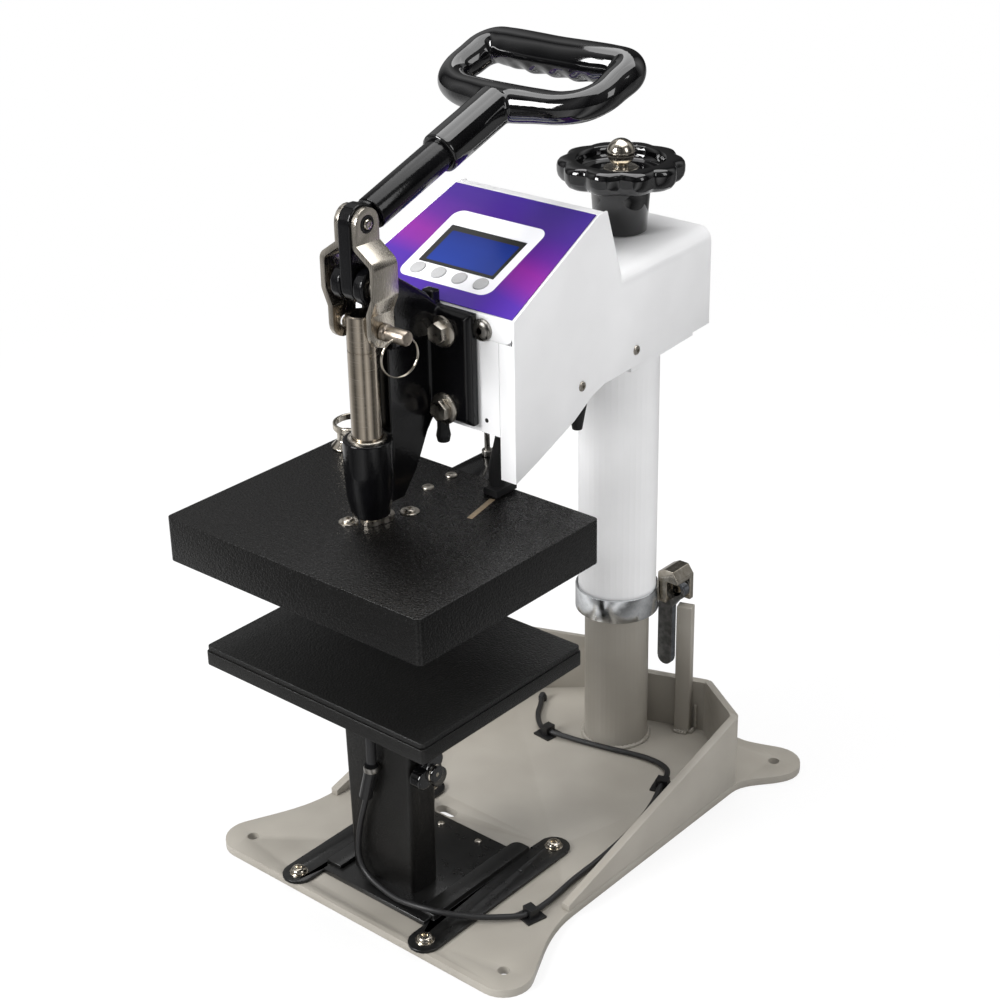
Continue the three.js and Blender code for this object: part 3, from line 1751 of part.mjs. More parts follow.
const armGroup = new THREE.Group();
armGroup.add(
  piece("arm_frame", armFrame(), looks.whitePaint),
  piece("arm_cover", armCover(), looks.whitePaint),
  piece("console_face", consoleFace(), looks.whitePaint),
  piece("control_overlay", controlOverlay(), looks.overlay),
  piece("display_window", displayWindow(), looks.glass),
  piece("control_board", controlBoard(), looks.board),
  ...Array.from({ length: keys.count }, (_, i) => piece("key_" + (i + 1), key(i), looks.keys)),
  piece("toggle_casting", toggleCasting(), looks.blackPaint),
  piece("fulcrum_bolt", fulcrumBolt(), looks.steel),
  piece(
    "guide_rod",
    disc(guideRod.x, guideRod.y, guideRod.radius, guideRod.bottom, guideRod.top, smallSteps),
    looks.steel,
  ),
  piece("probe_boot", bootBody(), looks.rubber),
  piece("power_gland", glandBody(), looks.rubber),
);
const headGroup = new THREE.Group();
headGroup.add(
  piece("plunger", disc(0, toggleY, plunger.radius, plunger.bottom, plunger.top, roundSteps).subtract(
    rodX(-2 * plunger.radius, 2 * plunger.radius, toggleY, pinZ, plunger.pinRadius + touch, smallSteps),
  ), looks.steel),
  piece("clevis_pin", clevisPin(), looks.steel),
  piece("platen_foot", platenFoot(), looks.steel),
  piece("platen_cover", platenCover(), looks.blackPaint),
  piece("heat_plate", headSlab(head.sheet + head.play, head.bottom, heatPlateTop), looks.blackPaint),
  piece(
    "insulation_board",
    headSlab(insulation.inset, heatPlateTop + touch, heatPlateTop + touch + insulation.thickness),
    looks.board2,
  ),
  piece("guide_bracket", guideBracket(), looks.blackPaint),
  piece("heater_conduit", heaterConduit(), looks.rubber),
  piece("lifting_eye", liftingEye(), looks.steel),
);

const handleGroup = new THREE.Group();
handleGroup.add(
  piece("handle_crank", handleCrank(), looks.blackPaint),
  piece("handle_tube", handleTube(), looks.blackPaint),
  piece("hand_grip", handGrip(), looks.gloss),
  piece("top_pin", topPin(), looks.chrome),
  piece("link_left", toggleLink(-1), looks.steel),
  piece("link_right", toggleLink(1), looks.steel),
  piece("pull_pin", pullPinBody(), looks.steel),
  piece("split_ring", splitRing(), looks.steel),
);

press.add(base, table, column, armGroup, headGroup, handleGroup);

export default press;
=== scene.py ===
import math

import bmesh
import bpy
from mathutils import Matrix, Vector, noise


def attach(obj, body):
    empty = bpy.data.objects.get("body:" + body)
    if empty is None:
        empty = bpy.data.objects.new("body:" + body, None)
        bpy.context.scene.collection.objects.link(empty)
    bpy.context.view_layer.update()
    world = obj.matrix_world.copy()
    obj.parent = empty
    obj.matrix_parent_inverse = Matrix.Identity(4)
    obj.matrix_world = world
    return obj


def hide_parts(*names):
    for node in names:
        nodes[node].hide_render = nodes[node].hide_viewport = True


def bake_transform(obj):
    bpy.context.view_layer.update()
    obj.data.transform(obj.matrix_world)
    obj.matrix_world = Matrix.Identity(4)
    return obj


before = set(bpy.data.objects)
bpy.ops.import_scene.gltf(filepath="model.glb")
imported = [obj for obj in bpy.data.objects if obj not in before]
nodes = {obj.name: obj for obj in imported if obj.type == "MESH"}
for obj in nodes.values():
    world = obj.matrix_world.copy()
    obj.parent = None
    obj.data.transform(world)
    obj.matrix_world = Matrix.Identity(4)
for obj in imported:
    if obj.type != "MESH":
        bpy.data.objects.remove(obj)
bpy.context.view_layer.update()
MM = 0.001
MERGE = 1e-6  # metres; points nearer than this become one
EASE_FROM = 30  # degrees; edges flatter than this stay as they are


# Finishes

def linear(value):
    """An sRGB hex colour as linear red, green, blue and alpha."""
    parts = [int(value[i:i + 2], 16) / 255 for i in (0, 2, 4)]
    return tuple(c / 12.92 if c <= 0.04045 else ((c + 0.055) / 1.055) ** 2.4 for c in parts) + (1.0,)


def add(tree, kind, settings=None, inputs=None):
    """A shader node with its settings and links."""
    made = tree.nodes.new(kind)
    for name, value in (settings or {}).items():
        setattr(made, name, value)
    for name, value in (inputs or {}).items():
        if isinstance(value, bpy.types.NodeSocket):
            tree.links.new(value, made.inputs[name])
        else:
            made.inputs[name].default_value = value
    return made


def begin(name, roughness, metallic=0.0, **sockets):
    """A material with its shader, and object coordinates to draw patterns on."""
    material = bpy.data.materials.new(name)
    material.use_nodes = True
    tree = material.node_tree
    shader = tree.nodes["Principled BSDF"]
    shader.inputs["Roughness"].default_value = roughness
    shader.inputs["Metallic"].default_value = metallic
    for socket, value in sockets.items():
        shader.inputs[socket.replace("_", " ")].default_value = value
    place = add(tree, "ShaderNodeTexCoord").outputs["Object"]
    return material, tree, shader, place


def grains(tree, place, size_mm, stretch=(1, 1, 1), detail=2.0):
    """Noise whose grains measure size_mm, longer where stretch is below 1."""
    laid = add(tree, "ShaderNodeMapping", inputs={"Vector": place, "Scale": stretch}).outputs["Vector"]
    scale = 1 / (size_mm * MM)
    noisy = add(tree, "ShaderNodeTexNoise", inputs={"Vector": laid, "Scale": scale, "Detail": detail})
    return noisy.outputs["Fac"]


def tones(tree, fac, stops):
    """A colour ramp over stops of (position, hex colour)."""
    ramp = add(tree, "ShaderNodeValToRGB", inputs={"Fac": fac})
    stops = sorted(stops)
    while len(ramp.color_ramp.elements) < len(stops):
        ramp.color_ramp.elements.new(0.5)
    for element, (at, colour) in zip(ramp.color_ramp.elements, stops):
        element.position = at
        element.color = linear(colour)
    return ramp.outputs["Color"]


def greys(*stops):
    """Neutral stops; each tone is the two hex digits that its three channels share."""
    return [(at, tone * 3) for at, tone in stops]


def ranged(tree, fac, low, high, start=0.3, end=0.7):
    """A value between start and end, brought to the range from low to high."""
    limits = {"From Min": start, "From Max": end, "To Min": low, "To Max": high}
    return add(tree, "ShaderNodeMapRange", inputs={"Value": fac, **limits}).outputs["Result"]


def worked(tree, operation, *values):
    """The result of a sum on numbers."""
    return add(tree, "ShaderNodeMath", {"operation": operation}, dict(enumerate(values))).outputs["Value"]


def worked_vector(tree, operation, *values, output="Vector"):
    """The result of a sum on vectors."""
    return add(tree, "ShaderNodeVectorMath", {"operation": operation}, dict(enumerate(values))).outputs[output]


def blended(tree, share, first, second, how="MIX"):
    """Two colours mixed, with share of the second."""
    settings = {"data_type": "RGBA", "blend_type": how}
    inputs = {"Factor": share, "A": first, "B": second}
    return add(tree, "ShaderNodeMix", settings, inputs).outputs["Result"]


def coloured(tree, shader, fac, stops):
    tree.links.new(tones(tree, fac, stops), shader.inputs["Base Color"])


def roughened(tree, shader, fac, low, high):
    tree.links.new(ranged(tree, fac, low, high), shader.inputs["Roughness"])


def relief(tree, shader, height, depth_mm):
    """Bumps the surface where height varies, by depth_mm at most."""
    bump = add(tree, "ShaderNodeBump", inputs={"Height": height, "Distance": depth_mm * MM})
    tree.links.new(bump.outputs["Normal"], shader.inputs["Normal"])


def powder_coat(name, dark, light, roughness, peel_mm=1.6, peel_depth=0.02, shine=0.5):
    """Satin polyester powder coat: even colour with the soft orange peel of a baked film."""
    clear_film = {"Coat_Weight": 0.24 * shine, "Coat_Roughness": 0.25}
    material, tree, shader, place = begin(name, roughness, Specular_IOR_Level=shine, **clear_film)
    coloured(tree, shader, grains(tree, place, 70), [(0.35, dark), (0.65, light)])
    roughened(tree, shader, grains(tree, place, 9), roughness - 0.04, roughness + 0.05)
    relief(tree, shader, grains(tree, place, peel_mm), peel_depth)
    return material


def wrinkle_coat(name, dark, light, roughness, grain_mm, depth, shine=0.4):
    """Fine textured powder coat: pebbles about a millimetre wide that catch small lights."""
    material, tree, shader, place = begin(name, roughness, Specular_IOR_Level=shine)
    cells = {"Vector": place, "Scale": 1 / (grain_mm * MM), "Smoothness": 0.6}
    cell = add(tree, "ShaderNodeTexVoronoi", {"feature": "SMOOTH_F1"}, cells).outputs["Distance"]
    fine = grains(tree, place, grain_mm * 0.7, detail=3)
    coloured(tree, shader, fine, [(0.3, dark), (0.7, light)])
    roughened(tree, shader, fine, roughness + 0.12, roughness - 0.1)
    relief(tree, shader, worked(tree, "MULTIPLY_ADD", cell, -1.0, fine), depth)
    return material


def gloss_plastic(name, colour, roughness=0.07):
    """Dipped or moulded black plastic: mirror gloss with a faint waviness."""
    material, tree, shader, place = begin(name, roughness, Coat_Weight=0.6, Coat_Roughness=0.04)
    coloured(tree, shader, grains(tree, place, 30), [(0.35, colour), (0.7, "0C0C0D")])
    relief(tree, shader, grains(tree, place, 11, detail=1), 0.05)
    return material


def brushed_metal(name, dark, light, roughness, along, line_mm=0.5, depth=0.006):
    """Brushed or turned steel: fine lines along one direction; along is the stretch of the grain."""
    material, tree, shader, place = begin(name, roughness, 1.0)
    lines = grains(tree, place, line_mm, along, detail=3)
    stain = grains(tree, place, 14)
    halfway = add(tree, "ShaderNodeMix", inputs={0: 0.5, 2: lines, 3: stain}).outputs[0]
    coloured(tree, shader, halfway, [(0.35, dark), (0.65, light)])
    roughened(tree, shader, lines, roughness - 0.07, roughness + 0.09)
    relief(tree, shader, lines, depth)
    return material


def plated(name, dark, light, roughness):
    """Zinc, nickel or chrome plate over turned steel: smooth, with faint stains."""
    material, tree, shader, place = begin(name, roughness, 1.0)
    stain = grains(tree, place, 6, detail=3)
    coloured(tree, shader, stain, [(0.35, dark), (0.65, light)])
    roughened(tree, shader, stain, roughness * 0.7, roughness * 1.3)
    relief(tree, shader, grains(tree, place, 2.5), 0.004)
    return material


def rubbery(name, dark, light, roughness, grain_mm=0.8, depth=0.02):
    """PVC, silicone or moulded rubber: matt, with a fine skin."""
    material, tree, shader, place = begin(name, roughness)
    skin = grains(tree, place, grain_mm)
    coloured(tree, shader, skin, [(0.3, dark), (0.7, light)])
    relief(tree, shader, skin, depth)
    return material


# Where the console's slope lies: its top edge, and its angle by how far it drops on its way to the front
arm_front = -258.3
panel_rear = -132.9
panel_drop = 604.4 - 550.5
panel_top = (0.0, panel_rear * MM, 604.1 * MM)
panel_angle = math.atan2(panel_drop, panel_rear - arm_front)


def on_panel(tree, place):
    """Millimetres across the panel and up it from its top edge."""
    frame_of_panel = {"Location": panel_top, "Rotation": (panel_angle, 0, 0), "Scale": (MM, MM, MM)}
    inputs = {"Vector": place, **frame_of_panel}
    return add(tree, "ShaderNodeMapping", {"vector_type": "TEXTURE"}, inputs).outputs["Vector"]


def rounded_field(tree, flat, centre, half, corner):
    """How far, in millimetres, a point lies outside the inner rectangle of a rounded one."""
    folded = worked_vector(tree, "ABSOLUTE", worked_vector(tree, "SUBTRACT", flat, centre))
    endless = 1000
    past = worked_vector(tree, "SUBTRACT", folded, (half[0] - corner, half[1] - corner, endless))
    outside = worked_vector(tree, "MAXIMUM", past, (0, 0, 0))
    return worked_vector(tree, "LENGTH", outside, output="Value")


def printed_film():
    """Polyester control film: a violet print that warms to magenta at the middle, round a white field."""
    material, tree, shader, place = begin("printed_film", 0.36, Specular_IOR_Level=0.3)
    flat = on_panel(tree, place)
    parts = add(tree, "ShaderNodeSeparateXYZ", inputs={"Vector": flat})
    wave = worked(tree, "MULTIPLY_ADD", grains(tree, place, 60, detail=0), 14.0, parts.outputs["Y"])
    lean = worked(tree, "MULTIPLY_ADD", parts.outputs["X"], 0.16, wave)
    down = ranged(tree, lean, 0.0, 1.0, 5.0, -135.0)
    print_colour = tones(tree, down, [
        (0.0, "34177F"), (0.2, "3C177E"), (0.36, "561984"), (0.5, "791B88"),
        (0.6, "741E8B"), (0.74, "482293"), (1.0, "3C1F90"),
    ])
    field = rounded_field(tree, flat, (0, -75.5, 0), (50, 43.5), 10)
    inside = ranged(tree, field, 1.0, 0.0, 9.9, 10.15)
    tree.links.new(blended(tree, inside, print_colour, linear("EFEFF3")), shader.inputs["Base Color"])
    relief(tree, shader, grains(tree, place, 1.2), 0.006)
    return material


def display_glass():
    """Backlit display behind clear film: deep blue, in a dark frame; painted shadow of the window's edge widens the
    frame at the top and on the left.
    """
    material, tree, shader, place = begin("display_glass", 0.2, Specular_IOR_Level=0.35)
    flat = on_panel(tree, place)
    parts = add(tree, "ShaderNodeSeparateXYZ", inputs={"Vector": flat})
    upward = ranged(tree, parts.outputs["Y"], 0.0, 1.0, -96.0, -54.0)
    glow = tones(tree, upward, [(0.0, "19348A"), (0.6, "162F81"), (1.0, "122772")])
    # The blue field sits off centre, so the real dark border is wider at the top and on the left: that extra width is
    # painted shadow of the window's edge.
    field = rounded_field(tree, flat, (0.8, -76.2, 0), (36.2, 18.8), 1)
    inside = ranged(tree, field, 1.0, 0.0, 0.9, 1.6)
    tree.links.new(blended(tree, inside, linear("2B2B2A"), glow), shader.inputs["Base Color"])
    relief(tree, shader, grains(tree, place, 25), 0.01)
    return material


def circuit_board():
    """Glass-filled board under green solder mask."""
    material, tree, shader, place = begin("circuit_board", 0.4)
    coloured(tree, shader, grains(tree, place, 4), [(0.45, "245A38"), (0.6, "2F7A4C")])
    relief(tree, shader, grains(tree, place, 2), 0.02)
    return material


greige = powder_coat("greige_powder_coat", "98938A", "A29D94", 0.38, 1.6, 0.010)
white = powder_coat("white_powder_coat", "E6E6E7", "ECECED", 0.36, 1.4, 0.012)
satin_black = powder_coat("satin_black_powder_coat", "060607", "0B0B0D", 0.15, 2.4, 0.09, 0.3)
rail_black = powder_coat("black_rail_coat", "0D0D0D", "151514", 0.30, 1.2, 0.03)
pebble_black = wrinkle_coat("pebbled_black_coat", "050505", "0D0C0B", 0.27, 1.9, 0.32, 0.34)
fine_black = wrinkle_coat("fine_black_coat", "0D0D0C", "171615", 0.34, 1.1, 0.25)
gloss_black = gloss_plastic("gloss_black_plastic", "060607")
stainless = brushed_metal("brushed_stainless", "B9B2A6", "D0C9BE", 0.24, (1, 1, 0.04), 0.45, 0.003)
turned_steel = brushed_metal("turned_bright_steel", "A2988A", "ADA396", 0.19, (0.03, 0.03, 1), 1.1, 0.0002)
zinc = plated("zinc_plate", "B2ABA0", "CAC4BA", 0.32)
nickel = plated("polished_nickel", "BCB4A6", "D6CFC3", 0.18)
dark_steel = plated("dark_steel_plate", "85827D", "A19E99", 0.3)
chrome = plated("bright_chrome", "D2D4D6", "E2E4E6", 0.17)
dark_chrome = plated("dark_chrome", "7E8186", "A2A5AA", 0.10)
aged_steel = plated("aged_steel", "A0958A", "B4AA9C", 0.36)
bronze = plated("sintered_bronze", "9A7440", "B08A55", 0.38)
rubber = rubbery("black_rubber", "161617", "202022", 0.62)
cable_skin = rubbery("black_cable_jacket", "1A1A1B", "262627", 0.48, 0.6, 0.01)
nylon = rubbery("black_nylon", "121213", "1C1C1D", 0.36, 1.0, 0.01)
silicone = wrinkle_coat("silicone_pad", "101010", "1B1B1A", 0.40, 1.9, 0.4)
key_grey = rubbery("grey_key_plastic", "A9A9AA", "B7B7B8", 0.42, 0.7, 0.008)
fibre = rubbery("pressed_fibre", "C9BF95", "DDD4AE", 0.9, 2.0, 0.1)
# A dark matt colour for the top pivot pin, also used as painted shade on the disc that stands for the flange's small
# hole.
dark_pin_and_hole_shade = rubbery("dark_pin_and_painted_hole_shade", "0E0E0E", "161514", 0.5)
tan_tape = rubbery("tan_tape", "7A6A55", "97866E", 0.45, 1.5, 0.02)
film = printed_film()
glass = display_glass()
board = circuit_board()


# Pieces

def made_object(name, bm):
    """The bmesh as a new object of the scene."""
    mesh = bpy.data.meshes.new(name)
    bm.to_mesh(mesh)
    bm.free()
    made = bpy.data.objects.new(name, mesh)
    bpy.context.scene.collection.objects.link(made)
    return made


def placed(name, bm, material, body, sharp=35):
    """A finished piece at the origin that rides on a body."""
    bmesh.ops.remove_doubles(bm, verts=bm.verts, dist=MERGE)
    bmesh.ops.recalc_face_normals(bm, faces=bm.faces)
    return dressed(made_object(name, bm), material, body, sharp)


def dressed(piece, material, body, sharp=35):
    """Gives a piece its one material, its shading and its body."""
    mesh = piece.data
    mesh.materials.clear()
    mesh.materials.append(material)
    mesh.shade_smooth()
    mesh.set_sharp_from_angle(angle=math.radians(sharp))
    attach(piece, body)
    return piece


def settle(piece):
    """Makes the modifiers' result the piece's own mesh."""
    graph = bpy.context.evaluated_depsgraph_get()
    mesh = bpy.data.meshes.new_from_object(piece.evaluated_get(graph))
    piece.modifiers.clear()
    piece.data = mesh


def copy_of(node, name, flat=True):
    """A merged copy of a node's mesh, its flats made whole."""
    bm = bmesh.new()
    bm.from_mesh(nodes[node].data)
    bmesh.ops.remove_doubles(bm, verts=bm.verts, dist=5e-6)
    if flat:
        bmesh.ops.dissolve_limit(bm, angle_limit=math.radians(1.5), verts=bm.verts, edges=bm.edges)
    piece = made_object(name, bm)
    for group in list(piece.data.color_attributes):
        piece.data.color_attributes.remove(group)
    return piece


def eased(node, name, material, body, width, segments=2, sharp=35):
    """The node with its sharp edges rounded, as a coat or a broken edge leaves them."""
    piece = copy_of(node, name)
    bevel = piece.modifiers.new("ease", "BEVEL")
    bevel.width = width * MM
    bevel.segments = segments
    bevel.limit_method = "ANGLE"
    bevel.angle_limit = math.radians(EASE_FROM)
    bevel.use_clamp_overlap = True
    settle(piece)
    dressed(piece, material, body, sharp)
    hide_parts(node)
    return piece


def moulded(node, name, material, body, voxel, rounds):
    """The node as one cast or moulded skin with soft edges and filled corners."""
    piece = copy_of(node, name, flat=False)
    return softened(piece, material, body, voxel, rounds, node)


def softened(piece, material, body, voxel, rounds, node):
    """The piece melted into one skin, smoothed so many rounds, in place of the node."""
    remesh = piece.modifiers.new("skin", "REMESH")
    remesh.mode = "VOXEL"
    remesh.voxel_size = voxel * MM
    smooth = piece.modifiers.new("soft", "SMOOTH")
    smooth.factor = 0.5
    smooth.iterations = rounds
    settle(piece)
    dressed(piece, material, body, 180)
    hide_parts(node)
    return piece


def spun(profile, steps):
    """A bmesh of a profile of (radius, height) in millimetres, spun about Z."""
    bm = bmesh.new()
    verts = [bm.verts.new((r * MM, 0, h * MM)) for r, h in profile]
    edges = [bm.edges.new(pair) for pair in zip(verts, verts[1:])]
    bmesh.ops.spin(
        bm, geom=verts + edges, cent=(0, 0, 0), axis=(0, 0, 1), dvec=(0, 0, 0), angle=math.tau, steps=steps,
        use_merge=True, use_duplicate=False,
    )
    return bm


# How a piece made along Z is turned to stand along another axis
turns = {
    "Z": Matrix.Identity(4),
    "X": Matrix.Rotation(math.pi / 2, 4, "Y"),
    "-X": Matrix.Rotation(-math.pi / 2, 4, "Y"),
    "-Y": Matrix.Rotation(math.pi / 2, 4, "X"),
}


def lay(bm, centre, axis):
    """Moves all of a bmesh made along Z to its centre in millimetres and its axis."""
    bmesh.ops.transform(bm, matrix=Matrix.Translation(Vector(centre) * MM) @ turns[axis], verts=bm.verts)


def lathed(name, profile, centre, axis, material, body, steps=48, sharp=35):
    bm = spun(profile, steps)
    lay(bm, centre, axis)
    return placed(name, bm, material, body, sharp)


def socket_head(name, centre, axis, radius, height, socket, material, body, washer=0.0, washer_height=0.0):
    """A button-head screw with a hexagon socket, on its washer."""
    crown = max(radius * 0.55, socket * 1.3)
    dome = [(washer or radius, 0)]
    if washer:
        dome += [(washer, washer_height * 0.7), (washer - 0.4, washer_height), (radius, washer_height)]
    dome += [
        (radius, washer_height + height * 0.2), (radius * 0.95, washer_height + height * 0.55),
        (radius * 0.78, washer_height + height * 0.86), (crown, washer_height + height),
    ]
    bm = spun(dome, 24)
    bmesh.ops.remove_doubles(bm, verts=bm.verts, dist=MERGE)
    top = (washer_height + height) * MM
    rim = [e for e in bm.edges if e.is_boundary and all(abs(v.co.z - top) < 1e-7 for v in e.verts)]
    at_top = Matrix.Translation((0, 0, top))
    hexagon = bmesh.ops.create_circle(bm, segments=6, radius=socket * MM, matrix=at_top)["verts"]
    sides = {e for v in hexagon for e in v.link_edges}
    bmesh.ops.subdivide_edges(bm, edges=list(sides), cuts=3)
    inner = [e for e in bm.edges if e.is_wire]
    bmesh.ops.bridge_loops(bm, edges=rim + inner)
    sunk = bmesh.ops.extrude_edge_only(bm, edges=inner)["geom"]
    low = [g for g in sunk if isinstance(g, bmesh.types.BMVert)]
    bmesh.ops.translate(bm, verts=low, vec=(0, 0, -0.6 * height * MM))
    bmesh.ops.edgeloop_fill(bm, edges=[g for g in sunk if isinstance(g, bmesh.types.BMEdge) and g.is_boundary])
    bmesh.ops.edgeloop_fill(bm, edges=[e for e in bm.edges if e.is_boundary])
    lay(bm, centre, axis)
    return placed(name, bm, material, body, 40)


def flange_bolt(name, centre, body, turn):
    """A hexagon bolt with its flange, as pressed: domed flange, chamfered head, dished crown."""
    skirt = [(0, 0), (13.6, 0), (13.6, 0.9), (13.1, 1.5), (11.2, 2.2), (10, 2.5), (0, 2.5)]
    head_radius, head_height, head_middle = 9.6, 7, 5.6
    bm = spun(skirt, 36)
    bmesh.ops.remove_doubles(bm, verts=bm.verts, dist=MERGE)
    made = bmesh.ops.create_cone(
        bm, cap_ends=True, segments=6, radius1=head_radius * MM, radius2=head_radius * MM, depth=head_height * MM,
        matrix=Matrix.Translation((0, 0, head_middle * MM)) @ Matrix.Rotation(math.radians(turn), 4, "Z"),
    )["verts"]
    crown = [f for f in {f for v in made for f in v.link_faces} if f.normal.z > 0.9]
    rim = list({e for f in crown for e in f.edges})
    bmesh.ops.bevel(
        bm, geom=rim, offset=0.8 * MM, affect="EDGES", segments=2, profile=0.5, material=-1, clamp_overlap=True,
    )
    top = max(bm.faces, key=lambda f: f.calc_center_median().z)
    bmesh.ops.inset_individual(bm, faces=[top], thickness=1.5 * MM)
    bmesh.ops.translate(bm, verts=top.verts, vec=(0, 0, -0.5 * MM))
    lay(bm, centre, "-Y")
    return placed(name, bm, zinc, body, 30)


def between(a, b, t_a, t_b, t):
    """The point at t of the line that is at a when t is t_a, and at b when t is t_b."""
    return a * ((t_b - t) / (t_b - t_a)) + b * ((t - t_a) / (t_b - t_a))


def smooth_path(points, steps, closed=False):
    """Centripetal Catmull-Rom through points, evenly parted between each pair."""
    count = len(points)
    out = []
    spans = range(count if closed else count - 1)
    for i in spans:
        if closed:
            p = [points[(i + k - 1) % count] for k in range(4)]
        else:
            first = points[i - 1] if i > 0 else points[0] * 2 - points[1]
            last = points[i + 2] if i + 2 < count else points[-1] * 2 - points[-2]
            p = [first, points[i], points[i + 1], last]
        knots = [0.0]
        for a, b in zip(p, p[1:]):
            knots.append(knots[-1] + max((b - a).length, 1e-9) ** 0.5)
        for s in range(steps):
            t = knots[1] + (knots[2] - knots[1]) * s / steps
            near = [between(p[k], p[k + 1], knots[k], knots[k + 1], t) for k in range(3)]
            wide = [between(near[k], near[k + 1], knots[k], knots[k + 2], t) for k in range(2)]
            out.append(between(wide[0], wide[1], knots[1], knots[2], t))
    if not closed:
        out.append(points[-1])
    return out


def hose(bm, path, radius, sides, closed=False, normal=None):
    """A round bar along a path; radius is one number or one for each point."""
    loops = []
    count = len(path)
    side = None
    for i, p in enumerate(path):
        ahead = path[(i + 1) % count] if closed or i + 1 < count else p
        behind = path[i - 1] if closed or i > 0 else p
        tangent = (ahead - behind).normalized()
        up = normal or side or (Vector((0, 0, 1)) if abs(tangent.z) < 0.9 else Vector((0, 1, 0)))
        across = tangent.cross(up).normalized()
        side = across.cross(tangent).normalized()
        turn = Matrix((across, side, tangent)).transposed().to_4x4()
        r = radius[i] if hasattr(radius, "__len__") else radius
        ring = bmesh.ops.create_circle(bm, segments=sides, radius=r, matrix=Matrix.Translation(p) @ turn)["verts"]
        loops.append(list({e for v in ring for e in v.link_edges}))
    pairs = list(zip(loops, loops[1:])) + ([(loops[-1], loops[0])] if closed else [])
    for a, b in pairs:
        bmesh.ops.bridge_loops(bm, edges=a + b)
    if not closed:
        for ends in (loops[0], loops[-1]):
            bmesh.ops.edgeloop_fill(bm, edges=ends)


# Camera at the photograph's place, lights and floor

def aim(azimuth, elevation, roll):
    """The turn of a camera that looks from azimuth and elevation towards the middle, all in degrees."""
    az, el, ro = (math.radians(a) for a in (azimuth, elevation, roll))
    back = Vector((math.sin(az) * math.cos(el), -math.cos(az) * math.cos(el), math.sin(el)))
    right = Vector((math.cos(az), math.sin(az), 0))
    up = back.cross(right)
    across = right * math.cos(ro) + up * math.sin(ro)
    above = up * math.cos(ro) - right * math.sin(ro)
    return Matrix((across, above, back)).transposed().to_4x4()


camera = bpy.data.objects.new("camera", bpy.data.cameras.new("camera"))
sensor, picture_width, focal_length = 36, 1000, 1988.1  # millimetres, pixels, pixels
camera.data.sensor_width = sensor
camera.data.lens = focal_length * sensor / picture_width
camera.data.shift_x = 0.01244
camera.data.shift_y = 0.00313
camera.data.clip_end = 50
camera.matrix_world = Matrix.Translation((1.0418, -1.3788, 1.10505)) @ aim(41.24, 25.85, -1.30)
bpy.context.scene.collection.objects.link(camera)
bpy.context.scene.camera = camera
bpy.context.scene.view_settings.view_transform = "Standard"


def softbox(name, place, target, width, height, watts):
    """A rectangular lamp at a place in metres, turned to its target."""
    lamp = bpy.data.lights.new(name, "AREA")
    lamp.shape = "RECTANGLE"
    lamp.size, lamp.size_y, lamp.energy = width, height, watts
    box = bpy.data.objects.new(name, lamp)
    aim_at = (Vector(target) - Vector(place)).to_track_quat("-Z", "Y")
    box.matrix_world = Matrix.Translation(place) @ aim_at.to_matrix().to_4x4()
    bpy.context.scene.collection.objects.link(box)


softbox("window_front", (-0.9, -2.6, 1.7), (0, -0.2, 0.35), 1.1, 1.3, 86)
softbox("window_right", (2.3, -0.1, 1.6), (0, -0.1, 0.4), 0.7, 1.2, 9)
softbox("ceiling", (0.0, 0.1, 2.5), (0, -0.2, 0), 2.4, 2.0, 46)

world = bpy.data.worlds.new("pale_room")
bpy.context.scene.world = world
world.use_nodes = True
room = world.node_tree
toward = add(room, "ShaderNodeTexCoord").outputs["Generated"]
height = add(room, "ShaderNodeSeparateXYZ", inputs={"Vector": toward}).outputs["Z"]


def bearing(tree, place):
    """How far round the vertical a place lies, from 0 to 1."""
    return add(tree, "ShaderNodeTexGradient", {"gradient_type": "RADIAL"}, {"Vector": place}).outputs["Fac"]


# The camera sees the world white, reflections see walls with dark and bright bays, other light is an even fill
walls = tones(room, ranged(room, height, 0.0, 1.0, -0.4, 1.0), greys(
    (0.0, "5A"), (0.3, "8F"), (0.5, "C8"), (0.7, "EE"), (1.0, "F4"),
))
bays = tones(room, bearing(room, toward), greys(
    (0.0, "3A"), (0.07, "E8"), (0.16, "2C"), (0.27, "B0"), (0.36, "3C"), (0.5, "8E"), (0.6, "2E"),
    (0.68, "F2"), (0.76, "3A"), (0.86, "5C"), (0.93, "CF"), (1.0, "3A"),
))
bayed_walls = blended(room, 1.0, walls, bays, "MULTIPLY")
fill = tones(room, ranged(room, height, 0.0, 1.0, 0.0, 1.0), greys((0.0, "AE"), (1.0, "C6")))
rays = add(room, "ShaderNodeLightPath")
lighting = blended(room, rays.outputs["Is Glossy Ray"], fill, bayed_walls)
seen = blended(room, rays.outputs["Is Camera Ray"], lighting, (1, 1, 1, 1))
sky = room.nodes["Background"]
room.links.new(seen, sky.inputs["Color"])
sky.inputs["Strength"].default_value = 1.0

bm = bmesh.new()
bmesh.ops.create_grid(bm, x_segments=1, y_segments=1, size=6)
floor = made_object("floor", bm)
pale, tree, shader, place = begin("pale_floor", 0.6)
shader.inputs["Base Color"].default_value = linear("F4F4F4")
shader.inputs["Specular IOR Level"].default_value = 0.2
rays = add(tree, "ShaderNodeLightPath")
# For the camera the floor glows more the further away it is
white_glow = add(tree, "ShaderNodeEmission", inputs={"Color": (1, 1, 1, 1), "Strength": 1.0})
away = worked_vector(tree, "LENGTH", place, output="Value")
glow_share = worked(tree, "MULTIPLY", rays.outputs["Is Camera Ray"], ranged(tree, away, 0.79, 1.0, 0.6, 1.5))
plain_floor = add(tree, "ShaderNodeMixShader", inputs={
    0: glow_share, 1: shader.outputs["BSDF"], 2: white_glow.outputs["Emission"],
})
